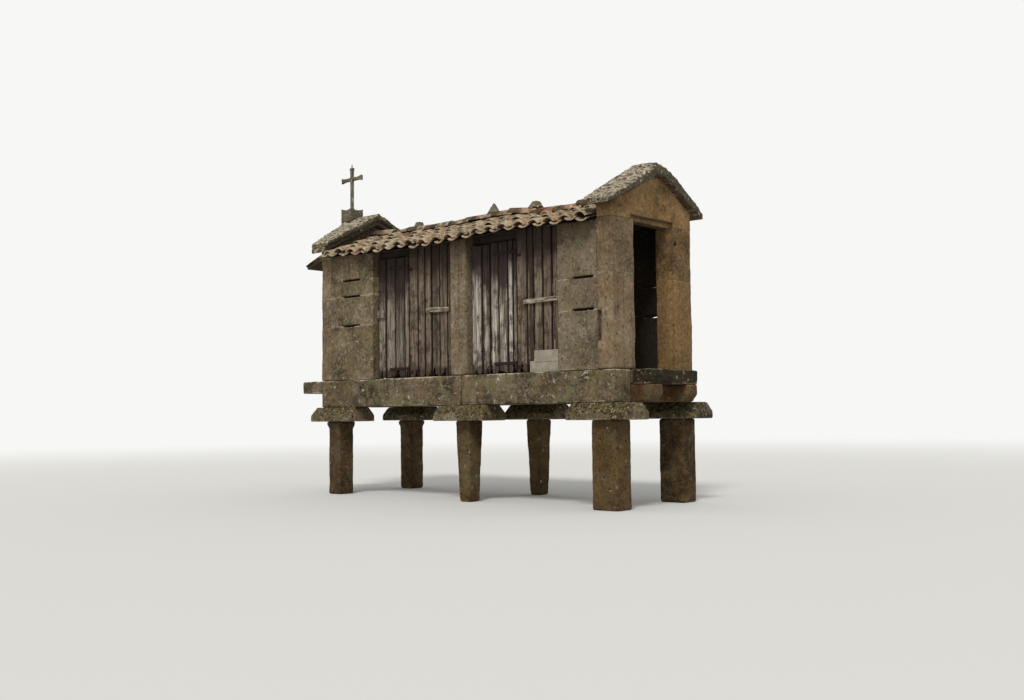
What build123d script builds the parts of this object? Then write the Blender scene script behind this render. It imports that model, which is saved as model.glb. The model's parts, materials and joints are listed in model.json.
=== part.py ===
from build123d import *
import os

# Raised stone granary on six mushroom-capped pillars, in millimetres.
# X runs along the granary, Y across it from the door side to the rear, Z up from the ground.
# The origin is on the ground, under the middle of the whole building.

# How far a cut runs past the stone it cuts
cut_margin = 10

# Plan of the store
left_pier_width = 1000
bay_width = 1335
centre_pier_width = 260
right_pier_width = 730
wall_width = 1500
end_wall_thickness = 200
side_wall_thickness = 200

# Pillars and their caps
pillar_height = 920
pillar_inset = 130
left_pillar_offset = 237
centre_pillar_offset = 2505
right_pillar_offset = 145
slim_pillar_width = 228
slim_pillar_head = 262
slim_pillar_head_height = 95
slim_pillar_flare_height = 60
centre_pillar_top = 230
centre_pillar_foot = 168
broad_pillar_length = 330
broad_pillar_width = 260
cap_length = 800
cap_width = 420
cap_rim_height = 78
cap_slope_height = 102
cap_slope_inset = 85
cap_end_inset = 20
cap_corner_radius = 32
left_cap_shift = 25
right_cap_shift = -50

# Beams, sills, floor and doorsteps
beam_height = 340
beam_width = 305
beam_joint_offset = 2505
beam_joint_gap = 6
floor_thickness = 155
end_stone_depth = 105
left_doorstep_length = 400
right_doorstep_length = 255
right_doorstep_bearing = 15
sill_width = 260
corbel_width = 220
corbel_length = 245
corbel_taper = 60
corbel_nose_share = 0.45
stone_edge_wear = 14

# Walls
wall_drop = 90
doorway_width = 690
doorway_height = 1580
rebate_height = 40
rebate_depth = 60
rebate_side = 58
gable_shoulder = 130
gable_slope = 0.5
slot_height = 24
slot_offset_left = 425
slot_length_left = 330
slot_offset_right = 248
slot_length_right = 275
left_slot_levels = (683, 1054, 1258)
right_slot_levels = (628, 967)
seam_recess_width = 45
seam_recess_depth = 50
seam_recess_height = 300
seam_recess_level = 300
latch_hole_radius = 26
latch_hole_depth = 70
latch_hole_offset = 310
latch_hole_level = 1396
socket_size = 45
socket_offset = 114
socket_level = 620

# Boarded bays and plank doors
board_recess = 90
board_thickness = 28
board_width = 130
board_groove = 9
door_clearance = 8
left_door_width = 545
right_door_width = 680
crossbar_height = 52
crossbar_depth = 30
left_crossbar_offset = 480
left_crossbar_length = 385
left_crossbar_level = 792
right_crossbar_offset = 70
right_crossbar_length = 490
right_crossbar_level = 760
lock_block_length = 140
lock_block_height = 95
lock_block_depth = 34
lock_block_level = 750
patch_step = 118
patch_thickness = 8
patch_length = 430
patch_top_length = 335
patch_offset = 30
strap_length = 250
fixed_strap_length = 60
strap_height = 30
strap_thickness = 5
knuckle_radius = 9
knuckle_height = 45
hinge_gap = 0.3
lower_hinge_level = 90
upper_hinge_drop = 160

# Roof
roof_thickness = 45
roof_overhang = 175
eave_lift = 18
roof_rise = 320
tile_row_pitch = 213
tile_row_width = 158
tile_row_rise = 56
ridge_tile_width = 210
ridge_tile_height = 105
ridge_tile_curve = ((0.82, 0.55), (0.42, 0.9))
ridge_beam_size = 100
coping_eave_overhang = 170
coping_end_overhang = 85
right_coping_width = 370
coping_eave_thickness = 85
coping_ridge_thickness = 140
coping_bulge = 26
coping_edge_round = 30
bed_slab_thickness = 68
bed_slab_setback = 40
bed_prow_length = 180
left_eave_overhang = 150
left_coping_width = 320
left_eave_thickness = 72
left_ridge_thickness = 98
prow_length = 345
left_end_overhang = 25

# Tiled hood over the left doorway
hood_length = 330
hood_thickness = 52
hood_drop = 110
hood_lift = 8

# Pedestal and cross on the left ridge end
pedestal_size = 216
pedestal_height = 130
pedestal_dish = 26
cross_foot_height = 60
cross_foot_radius = 42
cross_height = 590
cross_shaft = 44
cross_span = 410
cross_arm_level = 435
cross_flare = 74
cross_flare_length = 62
cross_pin_height = 62
cross_pin_radius = 9

# Loose ballast stones on the ridge: place along the wall, length, width, height, slant of the sides
ballast_stones = (
    (2365, 200, 130, 112, 0.74),
    (3030, 150, 120, 72, 0.28),
    (1060, 120, 100, 50, 0.25),
)

# How deep the ballast stones straddle the ridge tiles
ballast_bed = 60

# Places worked out from the sizes
wall_length = left_pier_width + 2 * bay_width + centre_pier_width + right_pier_width
pedestal_offset = left_end_overhang + prow_length - pedestal_size / 2
left_reach = max(left_doorstep_length, pedestal_offset + cross_span / 2)
right_reach = max(right_doorstep_length, coping_end_overhang)
left_end = left_reach - (left_reach + wall_length + right_reach) / 2
right_end = left_end + wall_length
wall_middle = (left_end + right_end) / 2
front_face = -wall_width / 2
left_inner = left_end + end_wall_thickness
right_inner = right_end - end_wall_thickness
left_bay_start = left_end + left_pier_width
centre_pier_start = left_bay_start + bay_width
right_bay_start = centre_pier_start + centre_pier_width
right_pier_start = right_bay_start + bay_width

cap_top = pillar_height + cap_rim_height + cap_slope_height
beam_top = cap_top + beam_height
wall_top = beam_top + doorway_height - wall_drop
hinge_levels = (beam_top + lower_hinge_level, wall_top - upper_hinge_drop)
eave_level = wall_top + eave_lift
ridge_level = eave_level + roof_rise
jamb_top = beam_top + doorway_height
shoulder_top = jamb_top + gable_shoulder
apex_top = shoulder_top + gable_slope * wall_width / 2
board_face = front_face + board_recess
board_back = board_face + board_thickness

# The old roof sags: place along it as a share of its length, rise of the eave, rise of the ridge
roof_sag = (
    (0.00, 35, 35),
    (0.24, 2, 5),
    (0.40, -18, 8),
    (0.57, 2, 22),
    (0.75, 22, -36),
    (1.00, -8, -42),
)


def block(x0, x1, y0, y1, z0, z1):
    centre = Pos((x0 + x1) / 2, (y0 + y1) / 2, (z0 + z1) / 2)
    return centre * Box(x1 - x0, y1 - y0, z1 - z0)


def worn_block(x0, x1, y0, y1, z0, z1, wear=stone_edge_wear):
    solid = block(x0, x1, y0, y1, z0, z1)
    return chamfer(solid.edges().filter_by(Axis.X), wear)


def to_rear(solid):
    return mirror(solid, about=Plane.XZ)


def to_left(solid):
    return mirror(solid, about=Plane.YZ.offset(wall_middle))


def section(points):
    return Face(Wire.make_polygon([Vector(*point) for point in points], close=True))


def prism(points, reach):
    return extrude(section(points), amount=reach, dir=(1, 0, 0))


def write(name, solid):
    export_step(solid, f"parts/{name}.step")


# Pillars


def slim_pillar():
    half = slim_pillar_width / 2
    head = slim_pillar_head / 2
    neck = pillar_height - slim_pillar_head_height
    swell = neck + slim_pillar_flare_height
    shaft = Pos(0, 0, pillar_height / 2) * Box(2 * half, 2 * half, pillar_height)
    narrow = Pos(0, 0, neck) * Rectangle(2 * half, 2 * half)
    wide = Pos(0, 0, swell) * Rectangle(2 * head, 2 * head)
    band = Pos(0, 0, (swell + pillar_height) / 2) * Box(2 * head, 2 * head, pillar_height - swell)
    return shaft + loft([narrow, wide]) + band


def centre_pillar():
    foot = Rectangle(centre_pillar_foot, centre_pillar_foot)
    top = Pos(0, 0, pillar_height) * Rectangle(centre_pillar_top, centre_pillar_top)
    return loft([foot, top])


def broad_pillar():
    shaft = Pos(0, 0, pillar_height / 2) * Box(broad_pillar_length, broad_pillar_width, pillar_height)
    return chamfer(shaft.edges().filter_by(Axis.Z), stone_edge_wear)


def mushroom_cap():
    rim_sketch = RectangleRounded(cap_length, cap_width, cap_corner_radius)
    rim = extrude(rim_sketch, amount=cap_rim_height)
    seat_length = cap_length - 2 * cap_end_inset
    seat_width = cap_width - 2 * cap_slope_inset
    seat_radius = min(cap_corner_radius, seat_width / 4)
    seat = RectangleRounded(seat_length, seat_width, seat_radius)
    low = Pos(0, 0, cap_rim_height) * rim_sketch
    high = Pos(0, 0, cap_rim_height + cap_slope_height) * seat
    return Pos(0, 0, pillar_height) * (rim + loft([low, high]))


pillar_line = front_face + pillar_inset
pillars = {
    "left": (left_end + left_pillar_offset, slim_pillar, left_cap_shift),
    "centre": (left_end + centre_pillar_offset, centre_pillar, 0),
    "right": (right_end - right_pillar_offset, broad_pillar, right_cap_shift),
}


# Beams, end sills, floor and doorsteps


def side_beam():
    joint = left_end + beam_joint_offset
    near_joint = joint - beam_joint_gap / 2
    past_joint = joint + beam_joint_gap / 2
    back = front_face + beam_width
    start = left_end + end_stone_depth
    left_stone = worn_block(start, near_joint, front_face, back, cap_top, beam_top)
    right_stone = worn_block(past_joint, right_end, front_face, back, cap_top, beam_top)
    return Compound(children=[left_stone, right_stone])


def end_sill():
    inner = wall_width / 2 - beam_width
    top = beam_top - floor_thickness
    sill = block(right_end - sill_width, right_end, -inner, inner, cap_top, top)
    tip = right_end + corbel_length
    profile = [
        (right_end - sill_width, -inner, cap_top),
        (tip - corbel_taper, -inner, cap_top),
        (tip, -inner, cap_top + corbel_nose_share * (top - cap_top)),
        (tip, -inner, top),
        (right_end - sill_width, -inner, top),
    ]
    corbel = extrude(section(profile), amount=corbel_width, dir=(0, 1, 0))
    return sill + corbel + to_rear(corbel)


def left_sill():
    inner = wall_width / 2 - beam_width
    stop = left_end + end_stone_depth
    horn = block(left_end, stop, front_face, -inner, cap_top, beam_top)
    return to_left(end_sill()) + horn + to_rear(horn)


def floor_slab():
    inner = wall_width / 2 - beam_width
    return block(left_end, right_end, -inner, inner, beam_top - floor_thickness, beam_top)


def doorstep(length, width):
    half = width / 2
    slab = block(right_end, right_end + length, -half, half, beam_top - floor_thickness, beam_top)
    outer_edges = slab.edges().filter_by(Axis.Y).group_by(Axis.X)[-1]
    return chamfer(outer_edges, stone_edge_wear)


# Wall piers, jambs and gables


def slot_cut(start, length, level):
    low = beam_top + level - slot_height / 2
    outside = front_face - cut_margin
    inside = front_face + side_wall_thickness + cut_margin
    return block(start, start + length, outside, inside, low, low + slot_height)


def left_pier():
    back = front_face + side_wall_thickness
    pier = block(left_inner, left_bay_start, front_face, back, beam_top, shoulder_top) - above_roof()
    for level in left_slot_levels:
        pier -= slot_cut(left_end + slot_offset_left, slot_length_left, level)
    return pier


def centre_pier():
    back = front_face + side_wall_thickness
    return block(centre_pier_start, right_bay_start, front_face, back, beam_top, shoulder_top) - above_roof()


def right_pier():
    back = front_face + side_wall_thickness
    pier = block(right_pier_start, right_inner, front_face, back, beam_top, shoulder_top) - above_roof()
    for level in right_slot_levels:
        pier -= slot_cut(right_end - slot_offset_right - slot_length_right, slot_length_right, level)
    return pier


def jamb():
    return block(right_inner, right_end, front_face, -doorway_width / 2, beam_top, jamb_top)


def right_front_jamb():
    seam = block(
        right_inner,
        right_inner + seam_recess_width,
        front_face - cut_margin,
        front_face + seam_recess_depth,
        beam_top + seam_recess_level,
        beam_top + seam_recess_level + seam_recess_height,
    )
    socket_middle = front_face + socket_offset
    socket_low = beam_top + socket_level - socket_size / 2
    socket = block(
        right_end - socket_size,
        right_end + cut_margin,
        socket_middle - socket_size / 2,
        socket_middle + socket_size / 2,
        socket_low,
        socket_low + socket_size,
    )
    return jamb() - seam - socket


def right_rear_jamb():
    hole = Cylinder(latch_hole_radius, latch_hole_depth, rotation=(0, 90, 0))
    across = wall_width / 2 - latch_hole_offset
    place = Pos(right_end - latch_hole_depth / 2, across, beam_top + latch_hole_level)
    edge = doorway_width / 2
    rebate = block(
        right_end - rebate_depth,
        right_end + cut_margin,
        edge - cut_margin,
        edge + rebate_side,
        beam_top - cut_margin,
        jamb_top + cut_margin,
    )
    return to_rear(jamb()) - rebate - place * hole


def gable():
    half = wall_width / 2
    outline = [
        (right_inner, -half, jamb_top),
        (right_inner, half, jamb_top),
        (right_inner, half, shoulder_top),
        (right_inner, 0, apex_top),
        (right_inner, -half, shoulder_top),
    ]
    stone = prism(outline, end_wall_thickness)
    notch_half = doorway_width / 2 + rebate_side
    rebate = block(
        right_end - rebate_depth,
        right_end + cut_margin,
        -notch_half,
        notch_half,
        jamb_top - cut_margin,
        jamb_top + rebate_height,
    )
    return stone - rebate


# Boarded bays and doors


def grooved(panel, start, stop, low, high):
    count = max(1, round((stop - start) / board_width))
    pitch = (stop - start) / count
    half = board_groove / 2
    for number in range(1, count):
        place = start + number * pitch
        panel -= block(place - half, place + half, board_face - half, board_face + board_groove, low, high)
    return panel


def hinge_half(axis_x, strap_end, low):
    place = Pos(axis_x, board_face - knuckle_radius, low + knuckle_height / 2)
    barrel = place * Cylinder(knuckle_radius, knuckle_height)
    strap_low = low + (knuckle_height - strap_height) / 2
    strap_front = board_face - strap_thickness
    start, stop = sorted((axis_x, strap_end))
    strap = block(start, stop, strap_front, board_face, strap_low, strap_low + strap_height)
    return barrel + strap


def plank_door(start, width):
    low = beam_top + door_clearance
    high = wall_top - door_clearance
    stop = start + width
    leaf = grooved(block(start, stop, board_face, board_back, low, high), start, stop, low, high)
    axis_x = stop + door_clearance / 2
    for level in hinge_levels:
        leaf += hinge_half(axis_x, stop - strap_length, level + hinge_gap)
    return leaf


def hinge_side(panel, start):
    axis_x = start - door_clearance / 2
    for level in hinge_levels:
        panel += hinge_half(axis_x, start + fixed_strap_length, level - knuckle_height)
    return panel


def crossbar(start, length, level):
    low = beam_top + level
    bar = block(start, start + length, board_face - crossbar_depth, board_face, low, low + crossbar_height)
    return chamfer(bar.edges().filter_by(Axis.X).group_by(Axis.Y)[0], crossbar_depth / 4)


def left_door():
    start = left_bay_start + door_clearance
    stop = start + lock_block_length
    low = beam_top + lock_block_level
    lock = block(start, stop, board_face - lock_block_depth, board_face, low, low + lock_block_height)
    return plank_door(start, left_door_width) + lock


def right_door():
    return plank_door(right_bay_start + door_clearance, right_door_width)


def bay_panel(start, stop):
    # Fixed boards reach up to the underside of the roof
    panel = block(start, stop, board_face, board_back, beam_top, shoulder_top)
    return grooved(panel, start, stop, beam_top, shoulder_top) - above_roof()


def left_boards():
    start = left_bay_start + 2 * door_clearance + left_door_width
    panel = bay_panel(start, centre_pier_start)
    bar_start = centre_pier_start - left_crossbar_offset
    bar = crossbar(bar_start, left_crossbar_length, left_crossbar_level)
    return hinge_side(panel, start) + bar


def right_boards():
    start = right_bay_start + 2 * door_clearance + right_door_width
    panel = bay_panel(start, right_pier_start)
    stop = right_pier_start - patch_offset
    top_stop = stop - (patch_length - patch_top_length) / 2
    top_start = top_stop - patch_top_length
    front = board_face - patch_thickness
    middle = beam_top + patch_step
    low_patch = block(stop - patch_length, stop, front, board_face, beam_top, middle)
    high_patch = block(top_start, top_stop, front, board_face, middle, middle + patch_step)
    bar_start = right_pier_start - right_crossbar_offset - right_crossbar_length
    bar = crossbar(bar_start, right_crossbar_length, right_crossbar_level)
    return hinge_side(panel, start) + low_patch + high_patch + bar


def rear_boards():
    panels = []
    for start in (left_bay_start, right_bay_start):
        panels.append(to_rear(bay_panel(start, start + bay_width)))
    return Compound(children=panels)


# Tiled roof with its timbers


def roof_stations():
    stations = []
    for share, eave_rise, ridge_rise in roof_sag:
        place = left_inner + share * (right_inner - left_inner)
        stations.append((place, eave_level + eave_rise, ridge_level + ridge_rise))
    return stations


def roof_at(place):
    stations = roof_stations()
    for (x0, eave0, ridge0), (x1, eave1, ridge1) in zip(stations, stations[1:]):
        if x0 <= place <= x1:
            share = (place - x0) / (x1 - x0)
            return eave0 + share * (eave1 - eave0), ridge0 + share * (ridge1 - ridge0)
    return stations[-1][1:]


def sloped_slab(thickness):
    edge = front_face - roof_overhang
    profiles = []
    for place, eave, ridge in roof_stations():
        outline = [
            (place, edge, eave),
            (place, 0, ridge),
            (place, 0, ridge + thickness),
            (place, edge, eave + thickness),
        ]
        profiles.append(section(outline))
    return loft(profiles, ruled=True)


def above_roof():
    return sloped_slab(shoulder_top - beam_top)


def tiled_section(across):
    # The slope cut through at one place across the roof: sagging underside, rows of cover tiles on top
    edge = front_face - roof_overhang

    def at(place, lift):
        eave, ridge = roof_at(place)
        return Vector(place, across, ridge + (eave - ridge) * across / edge + lift)

    underside = [at(place, 0) for place, _, _ in roof_stations()]
    edges = [Line(first, second) for first, second in zip(underside, underside[1:])]
    last = at(right_inner, roof_thickness)
    edges.append(Line(underside[-1], last))
    count = round((right_inner - left_inner) / tile_row_pitch)
    pitch = (right_inner - left_inner) / count
    for number in reversed(range(count)):
        middle = left_inner + (number + 0.5) * pitch
        right = at(middle + tile_row_width / 2, roof_thickness)
        left = at(middle - tile_row_width / 2, roof_thickness)
        crown = (right + left) / 2 + Vector(0, 0, tile_row_rise)
        edges += [Line(last, right), ThreePointArc(right, crown, left)]
        last = left
    corner = at(left_inner, roof_thickness)
    edges += [Line(last, corner), Line(corner, underside[0])]
    return Face(Wire(edges))


def roof_slope():
    edge = front_face - roof_overhang
    top = -ridge_tile_width / 2
    tiled = loft([tiled_section(edge), tiled_section(top)], ruled=True)
    band = sloped_slab(roof_thickness) & block(left_inner, right_inner, top, 0, beam_top, apex_top)
    return tiled + band


def ridge_tiles():
    half = ridge_tile_width / 2
    run = wall_width / 2 + roof_overhang
    profiles = []
    for place, eave, ridge in roof_stations():
        fall = (ridge - eave) * half / run
        crown = ridge + roof_thickness
        edge = crown - fall
        rise = ridge_tile_height + fall
        right_curve = [(place, half * out, edge + rise * up) for out, up in ridge_tile_curve]
        left_curve = [(place, -half * out, edge + rise * up) for out, up in reversed(ridge_tile_curve)]
        outline = [(place, -half, edge), (place, 0, crown), (place, half, edge)]
        outline += right_curve + [(place, 0, crown + ridge_tile_height)] + left_curve
        profiles.append(section(outline))
    return loft(profiles, ruled=True)


def ridge_beam():
    half = ridge_beam_size / 2
    run = wall_width / 2 + roof_overhang
    profiles = []
    for place, eave, ridge in roof_stations():
        fall = (ridge - eave) * half / run
        outline = [
            (place, -half, ridge - ridge_beam_size),
            (place, half, ridge - ridge_beam_size),
            (place, half, ridge - fall),
            (place, 0, ridge),
            (place, -half, ridge - fall),
        ]
        profiles.append(section(outline))
    return loft(profiles, ruled=True)


def wall_plates():
    # Short beams behind the boards, from pier to pier
    back = front_face + side_wall_thickness
    plates = []
    for start in (left_bay_start, right_bay_start):
        plates.append(block(start, start + bay_width, board_back, back, wall_top, shoulder_top) - above_roof())
    return plates


def ballast(ridge):
    stones = []
    for offset, length, width, height, slant in ballast_stones:
        place = left_end + offset
        foot = Rectangle(length, width)
        head = Pos(0, 0, height + ballast_bed) * Rectangle(length * (1 - slant), width * (1 - slant))
        crown = roof_at(place)[1] + roof_thickness + ridge_tile_height
        stone = Pos(place, 0, crown - ballast_bed) * loft([foot, head])
        stones.append(stone - ridge)
    return stones


# Stone copings over the gables


def coping_slope(inner, outer_eave, outer_ridge, lift, eave_thickness, ridge_thickness):
    edge = front_face - left_eave_overhang
    eave = shoulder_top - gable_slope * left_eave_overhang + lift
    ridge = apex_top + lift

    def outline(place_eave, place_ridge):
        return section([
            (place_eave, edge, eave),
            (place_ridge, 0, ridge),
            (place_ridge, 0, ridge + ridge_thickness),
            (place_eave, edge, eave + eave_thickness),
        ])

    return loft([outline(inner, inner), outline(outer_eave, outer_ridge)], ruled=True)


def right_coping():
    outer = right_end + coping_end_overhang
    inner = outer - right_coping_width
    edge = front_face - coping_eave_overhang
    eave = shoulder_top - gable_slope * coping_eave_overhang
    low = Vector(inner, edge, eave)
    high = Vector(inner, 0, apex_top)
    crest = high + Vector(0, 0, coping_ridge_thickness)
    lip = low + Vector(0, 0, coping_eave_thickness)
    swell = (crest + lip) / 2 + Vector(0, 0, coping_bulge)
    foot = Polyline(lip, low, high, crest)
    outline = Wire(foot.edges() + [ThreePointArc(crest, swell, lip)])
    slab = extrude(Face(outline), amount=right_coping_width, dir=(1, 0, 0))
    tip = slab.edges().group_by(Axis.Y)[0].sort_by(Axis.Z)[-1]
    return fillet(tip, coping_edge_round)


def left_coping():
    outer = left_end - left_end_overhang
    inner = outer + left_coping_width
    bed = coping_slope(
        inner - bed_slab_setback,
        outer,
        outer - bed_prow_length,
        0,
        bed_slab_thickness,
        bed_slab_thickness,
    )
    top = coping_slope(
        inner,
        outer,
        outer - prow_length,
        bed_slab_thickness,
        left_eave_thickness,
        left_ridge_thickness,
    )
    return bed, top


# Tiled hood, pedestal and cross on the left end


def hood():
    half = wall_width / 2
    low = jamb_top + hood_lift
    outline = [
        (left_end, -half, low),
        (left_end, -half, low + hood_thickness),
        (left_end - hood_length, -half, low + hood_thickness - hood_drop),
        (left_end - hood_length, -half, low - hood_drop),
    ]
    return extrude(section(outline), amount=wall_width, dir=(0, 1, 0))


def pedestal(copings):
    ridge = apex_top + bed_slab_thickness + left_ridge_thickness
    low = ridge - gable_slope * pedestal_size
    top = ridge + pedestal_height
    middle_x = left_end - pedestal_offset
    stone = Pos(middle_x, 0, (low + top) / 2) * Box(pedestal_size, pedestal_size, top - low)
    radius = (pedestal_size**2 / 4 + pedestal_dish**2) / (2 * pedestal_dish)
    for turn in ((90, 0, 0), (0, 90, 0)):
        scoop = Cylinder(radius, 2 * pedestal_size, rotation=turn)
        stone -= Pos(middle_x, 0, top + radius - pedestal_dish) * scoop
    stone -= Pos(middle_x, 0, top) * Cylinder(cross_foot_radius, 2 * pedestal_dish)
    for slope in copings:
        stone -= slope
    solids = stone.solids().sort_by(SortBy.VOLUME)
    return solids[-1]


def cross():
    middle_x = left_end - pedestal_offset
    ridge = apex_top + bed_slab_thickness + left_ridge_thickness
    base = ridge + pedestal_height - pedestal_dish
    stand = (Align.CENTER, Align.CENTER, Align.MIN)
    foot = Cone(cross_foot_radius, cross_shaft / 2, cross_foot_height, align=stand)
    shaft = Pos(0, 0, cross_height / 2) * Box(cross_shaft, cross_shaft, cross_height)
    arm = Pos(0, 0, cross_arm_level) * Box(cross_span, cross_shaft, cross_shaft)

    def flare(turn, reach):
        near = Rectangle(cross_shaft, cross_shaft)
        far = Pos(0, 0, cross_flare_length) * Rectangle(cross_flare, cross_shaft)
        return turn * Pos(0, 0, reach - cross_flare_length) * loft([near, far])

    solid = foot + shaft + arm + flare(Rot(0, 0, 0), cross_height)
    solid += Pos(0, 0, cross_arm_level) * flare(Rot(0, 90, 0), cross_span / 2)
    solid += Pos(0, 0, cross_arm_level) * flare(Rot(0, -90, 0), cross_span / 2)
    pin = Cone(cross_pin_radius, cross_pin_radius / 2, cross_pin_height, align=stand)
    solid += Pos(0, 0, cross_height) * pin
    return Pos(middle_x, 0, base) * solid


# Build and write every piece

os.makedirs("parts", exist_ok=True)

cap = mushroom_cap()
for side, sign in (("front", 1), ("rear", -1)):
    for name, (place, make, shift) in pillars.items():
        write(f"pillar_{side}_{name}", Pos(place, sign * pillar_line, 0) * make())
        write(f"cap_{side}_{name}", Pos(place + shift, sign * pillar_line, 0) * cap)

front_beam = side_beam()
write("beam_front", front_beam)
write("beam_rear", to_rear(front_beam))
write("sill_right", end_sill())
write("sill_left", left_sill())
write("floor", floor_slab())
right_doorstep_width = wall_width - 2 * (beam_width - right_doorstep_bearing)
write("doorstep_right", doorstep(right_doorstep_length, right_doorstep_width))
write("doorstep_left", to_left(doorstep(left_doorstep_length, wall_width)))

for name, make in (("left", left_pier), ("centre", centre_pier), ("right", right_pier)):
    pier = make()
    write(f"pier_front_{name}", pier)
    write(f"pier_rear_{name}", to_rear(pier))

write("jamb_right_front", right_front_jamb())
write("jamb_right_rear", right_rear_jamb())
write("jamb_left_front", to_left(jamb()))
write("jamb_left_rear", to_left(to_rear(jamb())))
write("gable_right", gable())
write("gable_left", to_left(gable()))

write("door_left", left_door())
write("door_right", right_door())
write("boards_front_left", left_boards())
write("boards_front_right", right_boards())
write("boards_rear", rear_boards())

front_slope = roof_slope()
plates = wall_plates()
ridge = ridge_tiles()
write("roof_timbers", Compound(children=plates + [to_rear(plate) for plate in plates] + [ridge_beam()]))
write("roof_front", front_slope)
write("roof_rear", to_rear(front_slope))
write("ridge_tiles", ridge)
write("ballast_stones", Compound(children=ballast(ridge)))

coping_right_front = right_coping()
write("coping_right_front", coping_right_front)
write("coping_right_rear", to_rear(coping_right_front))
bed_slab, top_slab = left_coping()
write("coping_bed_left", bed_slab + to_rear(bed_slab))
write("coping_left_front", top_slab)
write("coping_left_rear", to_rear(top_slab))
write("hood_left", hood())
write("cross_pedestal", pedestal([top_slab, to_rear(top_slab), bed_slab, to_rear(bed_slab)]))
write("cross", cross())
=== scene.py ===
import json
import math
import random

import bpy
from mathutils import Matrix, Vector

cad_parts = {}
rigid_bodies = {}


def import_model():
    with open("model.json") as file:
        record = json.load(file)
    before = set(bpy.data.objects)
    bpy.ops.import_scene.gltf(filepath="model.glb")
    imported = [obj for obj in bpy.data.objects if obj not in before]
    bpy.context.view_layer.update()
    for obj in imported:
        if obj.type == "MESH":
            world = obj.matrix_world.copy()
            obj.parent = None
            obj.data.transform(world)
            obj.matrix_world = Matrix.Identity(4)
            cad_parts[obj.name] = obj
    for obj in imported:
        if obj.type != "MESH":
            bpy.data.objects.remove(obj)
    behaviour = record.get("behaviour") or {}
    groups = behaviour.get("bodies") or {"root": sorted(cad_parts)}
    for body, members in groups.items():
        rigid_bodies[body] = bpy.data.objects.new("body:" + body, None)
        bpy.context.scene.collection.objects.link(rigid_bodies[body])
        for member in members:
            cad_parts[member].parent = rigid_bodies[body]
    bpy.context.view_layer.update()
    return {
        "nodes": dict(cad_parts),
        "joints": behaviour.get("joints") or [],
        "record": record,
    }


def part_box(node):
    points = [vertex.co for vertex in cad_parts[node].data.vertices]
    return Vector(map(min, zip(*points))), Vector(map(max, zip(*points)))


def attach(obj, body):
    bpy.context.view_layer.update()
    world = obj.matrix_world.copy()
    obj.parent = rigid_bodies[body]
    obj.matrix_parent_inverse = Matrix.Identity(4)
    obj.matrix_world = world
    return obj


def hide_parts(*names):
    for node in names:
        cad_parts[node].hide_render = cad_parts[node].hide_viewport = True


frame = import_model()
nodes = frame["nodes"]
slotOf = {row["node"]: row["material_slot"] for row in frame["record"]["subparts"]}
print("frame loaded:", len(nodes), "nodes")

# levels and places that several pieces share, all worked out from the frame
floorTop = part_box("floor")[1].z
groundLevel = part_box("pillar_front_left")[0].z
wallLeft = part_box("gable_left")[0].x
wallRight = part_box("gable_right")[1].x
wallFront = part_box("pier_front_centre")[0].y
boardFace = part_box("boards_rear")[1].y
# Small helpers


def pick(*things):
    bpy.ops.object.select_all(action="DESELECT")
    for thing in things:
        thing.select_set(True)
    bpy.context.view_layer.objects.active = things[0]


def finishModifiers(thing):
    pick(thing)
    for modifier in list(thing.modifiers):
        bpy.ops.object.modifier_apply(modifier=modifier.name)


def addModifier(thing, kind, **settings):
    modifier = thing.modifiers.new(kind.lower(), kind)
    for key, value in settings.items():
        setattr(modifier, key, value)
    return modifier


def settle(thing):
    # bakes the place, turn and size of an object into its mesh
    pick(thing)
    bpy.ops.object.transform_apply(location=True, rotation=True, scale=True)


def joined(things, name):
    pick(*things)
    if len(things) > 1:
        bpy.ops.object.join()
    piece = bpy.context.view_layer.objects.active
    piece.name = name
    piece.data.name = name
    return piece


def copied(thing, name):
    other = thing.copy()
    other.data = thing.data.copy()
    other.name = name
    bpy.context.scene.collection.objects.link(other)
    return other


def edited(thing, work, selection="SELECT"):
    # runs work, one or more mesh operators, with the whole mesh selected or none of it
    pick(thing)
    bpy.ops.object.mode_set(mode="EDIT")
    bpy.ops.mesh.select_all(action=selection)
    work()
    bpy.ops.object.mode_set(mode="OBJECT")


def copiedNode(node, name):
    # a CAD node's mesh is loose triangles, so its copy is merged before anything else
    piece = bpy.data.objects.new(name, nodes[node].data.copy())
    bpy.context.scene.collection.objects.link(piece)
    piece.data.materials.clear()

    def merge():
        bpy.ops.mesh.remove_doubles(threshold=0.0002)
        bpy.ops.mesh.dissolve_limited(angle_limit=math.radians(1))

    edited(piece, merge)
    return piece


def sliced(thing, place, normal, fill=True, **clear):
    edited(thing, lambda: bpy.ops.mesh.bisect(plane_co=place, plane_no=normal, use_fill=fill, **clear))


def facesOut(thing):
    edited(thing, lambda: bpy.ops.mesh.normals_make_consistent(inside=False))


def remove(*things):
    pick(*things)
    bpy.ops.object.delete()


def cuboid(name, low, high):
    # a block between two corners
    middle = [(a + b) / 2 for a, b in zip(low, high)]
    size = [b - a for a, b in zip(low, high)]
    bpy.ops.mesh.primitive_cube_add(size=1, location=middle, scale=size)
    block = bpy.context.object
    block.name = name
    settle(block)
    return block


def extent(thing, axis):
    values = [vertex.co[axis] for vertex in thing.data.vertices]
    return min(values), max(values)


def setTone(thing, name, value):
    # one number for a whole stone, tile or board, read by its material
    tone = thing.data.attributes.get(name) or thing.data.attributes.new(name, "FLOAT", "POINT")
    tone.data.foreach_set("value", [value] * len(thing.data.vertices))


def roughen(thing, texture, strength, middle, group=""):
    addModifier(
        thing, "DISPLACE", texture=texture, texture_coords="GLOBAL", strength=strength, mid_level=middle,
        vertex_group=group,
    )


def coat(thing, material):
    thing.data.materials.clear()
    thing.data.materials.append(material)


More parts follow.
